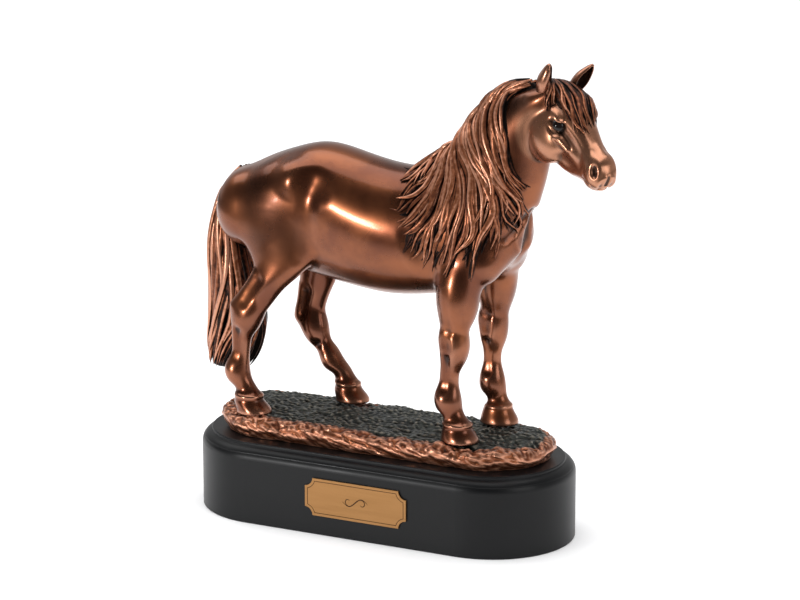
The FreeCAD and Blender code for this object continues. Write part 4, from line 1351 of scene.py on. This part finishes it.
def turf():
    """The ground: green-black patina on the turf, with a painted highlight in light grey on the tops of its
    strokes, and copper on the rim, brighter on its raised parts.
    """
    m = Nodes("copper_bronze_turf")
    hollow = m.attribute("cavity")
    spots = m.noise(120, 5)
    rim = m.math("ADD", m.attribute("rim"), m.math("MULTIPLY", m.math("SUBTRACT", spots, 0.5), 0.9))
    copper = m.mix(m.remap(spots, 0.35, 0.7), COPPER_DEEP, COPPER)
    copper = m.mix(m.remap(hollow, -0.05, 0.25), copper, COPPER_BRIGHT)
    copper = m.mix(m.remap(hollow, -0.5, -0.1), PATINA, copper)
    dark = m.mix(m.remap(spots, 0.3, 0.75), (0.010, 0.013, 0.011), (0.04, 0.045, 0.036))
    # painted highlight: light grey on the raised tops of the turf
    dark = m.mix(m.math("MULTIPLY", m.remap(hollow, 0.05, 0.4), 0.8), dark, (0.24, 0.22, 0.18))
    dark = m.mix(m.remap(hollow, -0.3, 0.0), (0.004, 0.005, 0.004), dark)
    m.bump(m.noise(520, 5), 0.0007, 0.8)
    share = m.remap(rim, 0.35, 0.65)
    return m.set(
        Base_Color=m.mix(share, dark, copper), Metallic=m.remap(rim, 0.3, 0.7, 0.6, 0.85),
        Roughness=m.remap(share, 0, 1, 0.34, 0.28)
    )


def eye_glass():
    """Dark glossy brown glaze."""
    m = Nodes("eye_glaze_brown")
    colour = m.mix(m.noise(220, 2), (0.002, 0.002, 0.002), (0.010, 0.006, 0.005))
    m.set(Coat_Weight=0.15, Coat_Roughness=0.03)
    return m.set(Base_Color=colour, Roughness=0.08, Specular_IOR_Level=0.25)


def lacquer():
    """Satin black lacquer."""
    m = Nodes("black_lacquer_satin")
    colour = m.mix(m.noise(60, 4), (0.0024, 0.0026, 0.0031), (0.0036, 0.0039, 0.0045))
    m.bump(m.noise(1400, 2), 0.00003, 0.25)
    rough_value = m.remap(m.noise(25, 3), 0.3, 0.7, 0.34, 0.40)
    return m.set(Base_Color=colour, Roughness=rough_value, Specular_IOR_Level=0.24)


PLATE_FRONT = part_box("name_plate")[0].y


def plate_metal():
    """Brushed bronze-coloured plate; what is engraved is filled with dark brown."""
    m = Nodes("plate_brushed")
    depth = m.math("SUBTRACT", m.split(m.coordinates())["Y"], PLATE_FRONT)
    sunk = m.remap(depth, 0.00004, 0.00008)
    face = m.remap(depth, 0.0004, 0.0002)
    grain = m.noise(500, 2, (0.05, 1, 1))
    colour = m.mix(grain, (0.265, 0.13, 0.044), (0.35, 0.18, 0.067))
    colour = m.mix(m.math("MULTIPLY", sunk, face), colour, (0.05, 0.022, 0.01))
    return m.set(Base_Color=colour, Metallic=0.85, Roughness=m.remap(grain, 0.3, 0.7, 0.34, 0.46))


def plain(name, first, second, scale, metallic, rough_value):
    """A quiet material for the parts that hardly show."""
    m = Nodes(name)
    return m.set(Base_Color=m.mix(m.noise(scale, 4), first, second), Metallic=metallic, Roughness=rough_value)


BRONZE = bronze()
BRONZE_HAIR = bronze_hair()
TURF = turf()
EYE_GLASS = eye_glass()
LACQUER = lacquer()
PLATE = plate_metal()

CAD_LOOKS = {
    # what shows or stays inside as the CAD has it
    "plinth_top": LACQUER, "plinth_body": LACQUER, "name_plate": PLATE,
    "bottom_cover": plain("cover_board_brown", (0.10, 0.06, 0.03), (0.16, 0.10, 0.055), 40, 0.0, 0.7),
    "felt_pad": plain("felt_black", (0.01, 0.01, 0.012), (0.03, 0.03, 0.032), 900, 0.0, 0.95),
    "plate_tape": plain("tape_white", (0.6, 0.6, 0.58), (0.7, 0.7, 0.68), 300, 0.0, 0.6),
}
STEEL = plain("steel_zinc", (0.45, 0.46, 0.48), (0.6, 0.61, 0.63), 200, 1.0, 0.35)
BRASS = plain("insert_brass", (0.6, 0.42, 0.15), (0.7, 0.5, 0.2), 200, 1.0, 0.35)
for node_name in ("leg_dowels", "hoof_dowels", "tail_dowel", "cover_screws", "ground_bolts", "bolt_washers"):
    CAD_LOOKS[node_name] = STEEL
CAD_LOOKS["threaded_inserts"] = BRASS


def dress_cad():
    """Gives the CAD nodes that stay their better materials."""
    for name, material in CAD_LOOKS.items():
        for thing in bpy.data.objects:
            if thing.type == "MESH" and thing.name.split(".")[0] == name:
                thing.data.materials.clear()
                thing.data.materials.append(material)


# ---------------------------------------------------------------- stage
SHEET_BRIGHT = 0.26  # metal mirrors the floor as a white sheet up to here,
SHEET_END = 0.52  # and as a dark room from here on
SHEET_STRETCH = 0.4  # the sheet is longer along X
ROOM_LIGHT = (1.06, 1.06, 1.07)
ROOM_BACKDROP = [(0.0, 0.07), (0.42, 0.12), (0.62, 0.5), (1.0, 0.75)]
ROOM_RISE = [(0.0, 1.0), (0.35, 0.75), (0.75, 0.55), (1.0, 0.9)]
IS_MIRRORED = "Is Glossy Ray"


def build_floor():
    """A pale floor that metal mirrors as a white sheet in a dark room."""
    bpy.ops.mesh.primitive_plane_add(size=16)
    floor = bpy.context.object
    floor.name = "floor"
    m = Nodes("floor_pale")
    pale = m.mix(m.noise(3, 2), (0.90, 0.90, 0.90), (0.93, 0.93, 0.93))
    place = m.split(m.coordinates())
    nearer = m.math("MINIMUM", place["Y"], 0.0)
    lengthways = m.math("MULTIPLY", place["X"], SHEET_STRETCH)
    squares = m.math("ADD", m.math("POWER", lengthways, 2.0), m.math("POWER", nearer, 2.0))
    fade = m.remap(m.math("SQRT", squares), SHEET_BRIGHT, SHEET_END)
    mirrored = m.mix(fade, (0.88, 0.88, 0.88), (0.07, 0.068, 0.066))
    colour = m.mix(m.node("ShaderNodeLightPath").outputs[IS_MIRRORED], pale, mirrored)
    floor.data.materials.append(m.set(Base_Color=colour, Roughness=0.9, Specular_IOR_Level=0.1))


def build_room():
    """A bright room that metal sees as a darker studio with a light backdrop."""
    world = bpy.data.worlds.new("studio")
    bpy.context.scene.world = world
    world.use_nodes = True
    m = NodeTree(world.node_tree)
    place = m.split(m.coordinates("Generated"))
    backdrop = m.grey_ramp(m.math("MULTIPLY_ADD", place["Y"], 0.5, 0.5), ROOM_BACKDROP)
    mirrored = m.mix(1, backdrop, m.grey_ramp(place["Z"], ROOM_RISE), "MULTIPLY")
    colour = m.mix(m.node("ShaderNodeLightPath").outputs[IS_MIRRORED], ROOM_LIGHT, mirrored)
    m.feed(m.tree.nodes["Background"].inputs["Color"], colour)


def area_light(name, place, target, size, power):
    """A rectangular light that points at a target."""
    light = bpy.data.lights.new(name, "AREA")
    light.shape = "RECTANGLE"
    light.size, light.size_y = size
    light.energy = power
    thing = bpy.data.objects.new(name, light)
    bpy.context.scene.collection.objects.link(thing)
    thing.location = place
    thing.rotation_euler = (Vector(target) - Vector(place)).to_track_quat("-Z", "Y").to_euler()


CAMERA_AROUND = math.radians(26.67)  # from the pony's right side towards its front
CAMERA_RISE = math.radians(14.73)
CAMERA_AWAY = 1.991
CAMERA_TARGET = (0.00724, 0.00364, 0.13527)
CAMERA_LENS = 150.4


def build_camera():
    """The camera that looks at the pony's right side, a little from the front and from above."""
    around, rise = CAMERA_AROUND, CAMERA_RISE
    back = Vector((math.sin(around) * math.cos(rise), -math.cos(around) * math.cos(rise), math.sin(rise)))
    data = bpy.data.cameras.new("camera")
    data.sensor_width = 36
    data.lens = CAMERA_LENS
    thing = bpy.data.objects.new("camera", data)
    bpy.context.scene.collection.objects.link(thing)
    thing.location = Vector(CAMERA_TARGET) + back * CAMERA_AWAY
    thing.rotation_euler = (-back).to_track_quat("-Z", "Y").to_euler()
    bpy.context.scene.camera = thing


def build_hair(pony):
    """Mane, forelock and tail, draped on the finished body."""
    grid = Grid((10, -50, 150), (170, 30, 300), 1.0)
    values = pony.distance(grid.x, grid.y, grid.z)
    across = Drape(grid, values, (0, MID_Y, 0), FRONT, UP, (0, -1, 0), ((10, 112), (152, 290)), 40, -8, 1)
    build_mane(across)
    face = Drape(grid, values, POLL, HEAD_DOWN, HEAD_LEFT, HEAD_OUT, ((-10, 60), (-20, 20)), 10, -22, 1)
    build_forelock(face)
    build_tail()


pony = build_body()
build_ears()
build_eyes()
build_hair(pony)
build_ground()
dress_cad()
build_floor()
build_room()
build_camera()
area_light("softbox_left", (-0.76, -1.42, 0.20), (0, 0, 0.17), (0.24, 0.24), 9)
area_light("softbox_top", (-0.75, 0.1, 1.5), (-0.75, 0.1, 0), (2.7, 1.2), 19)
area_light("softbox_right", (1.5, -0.55, 0.6), (0, 0, 0.17), (0.8, 0.8), 5)
bpy.context.scene.view_settings.view_transform = "Standard"
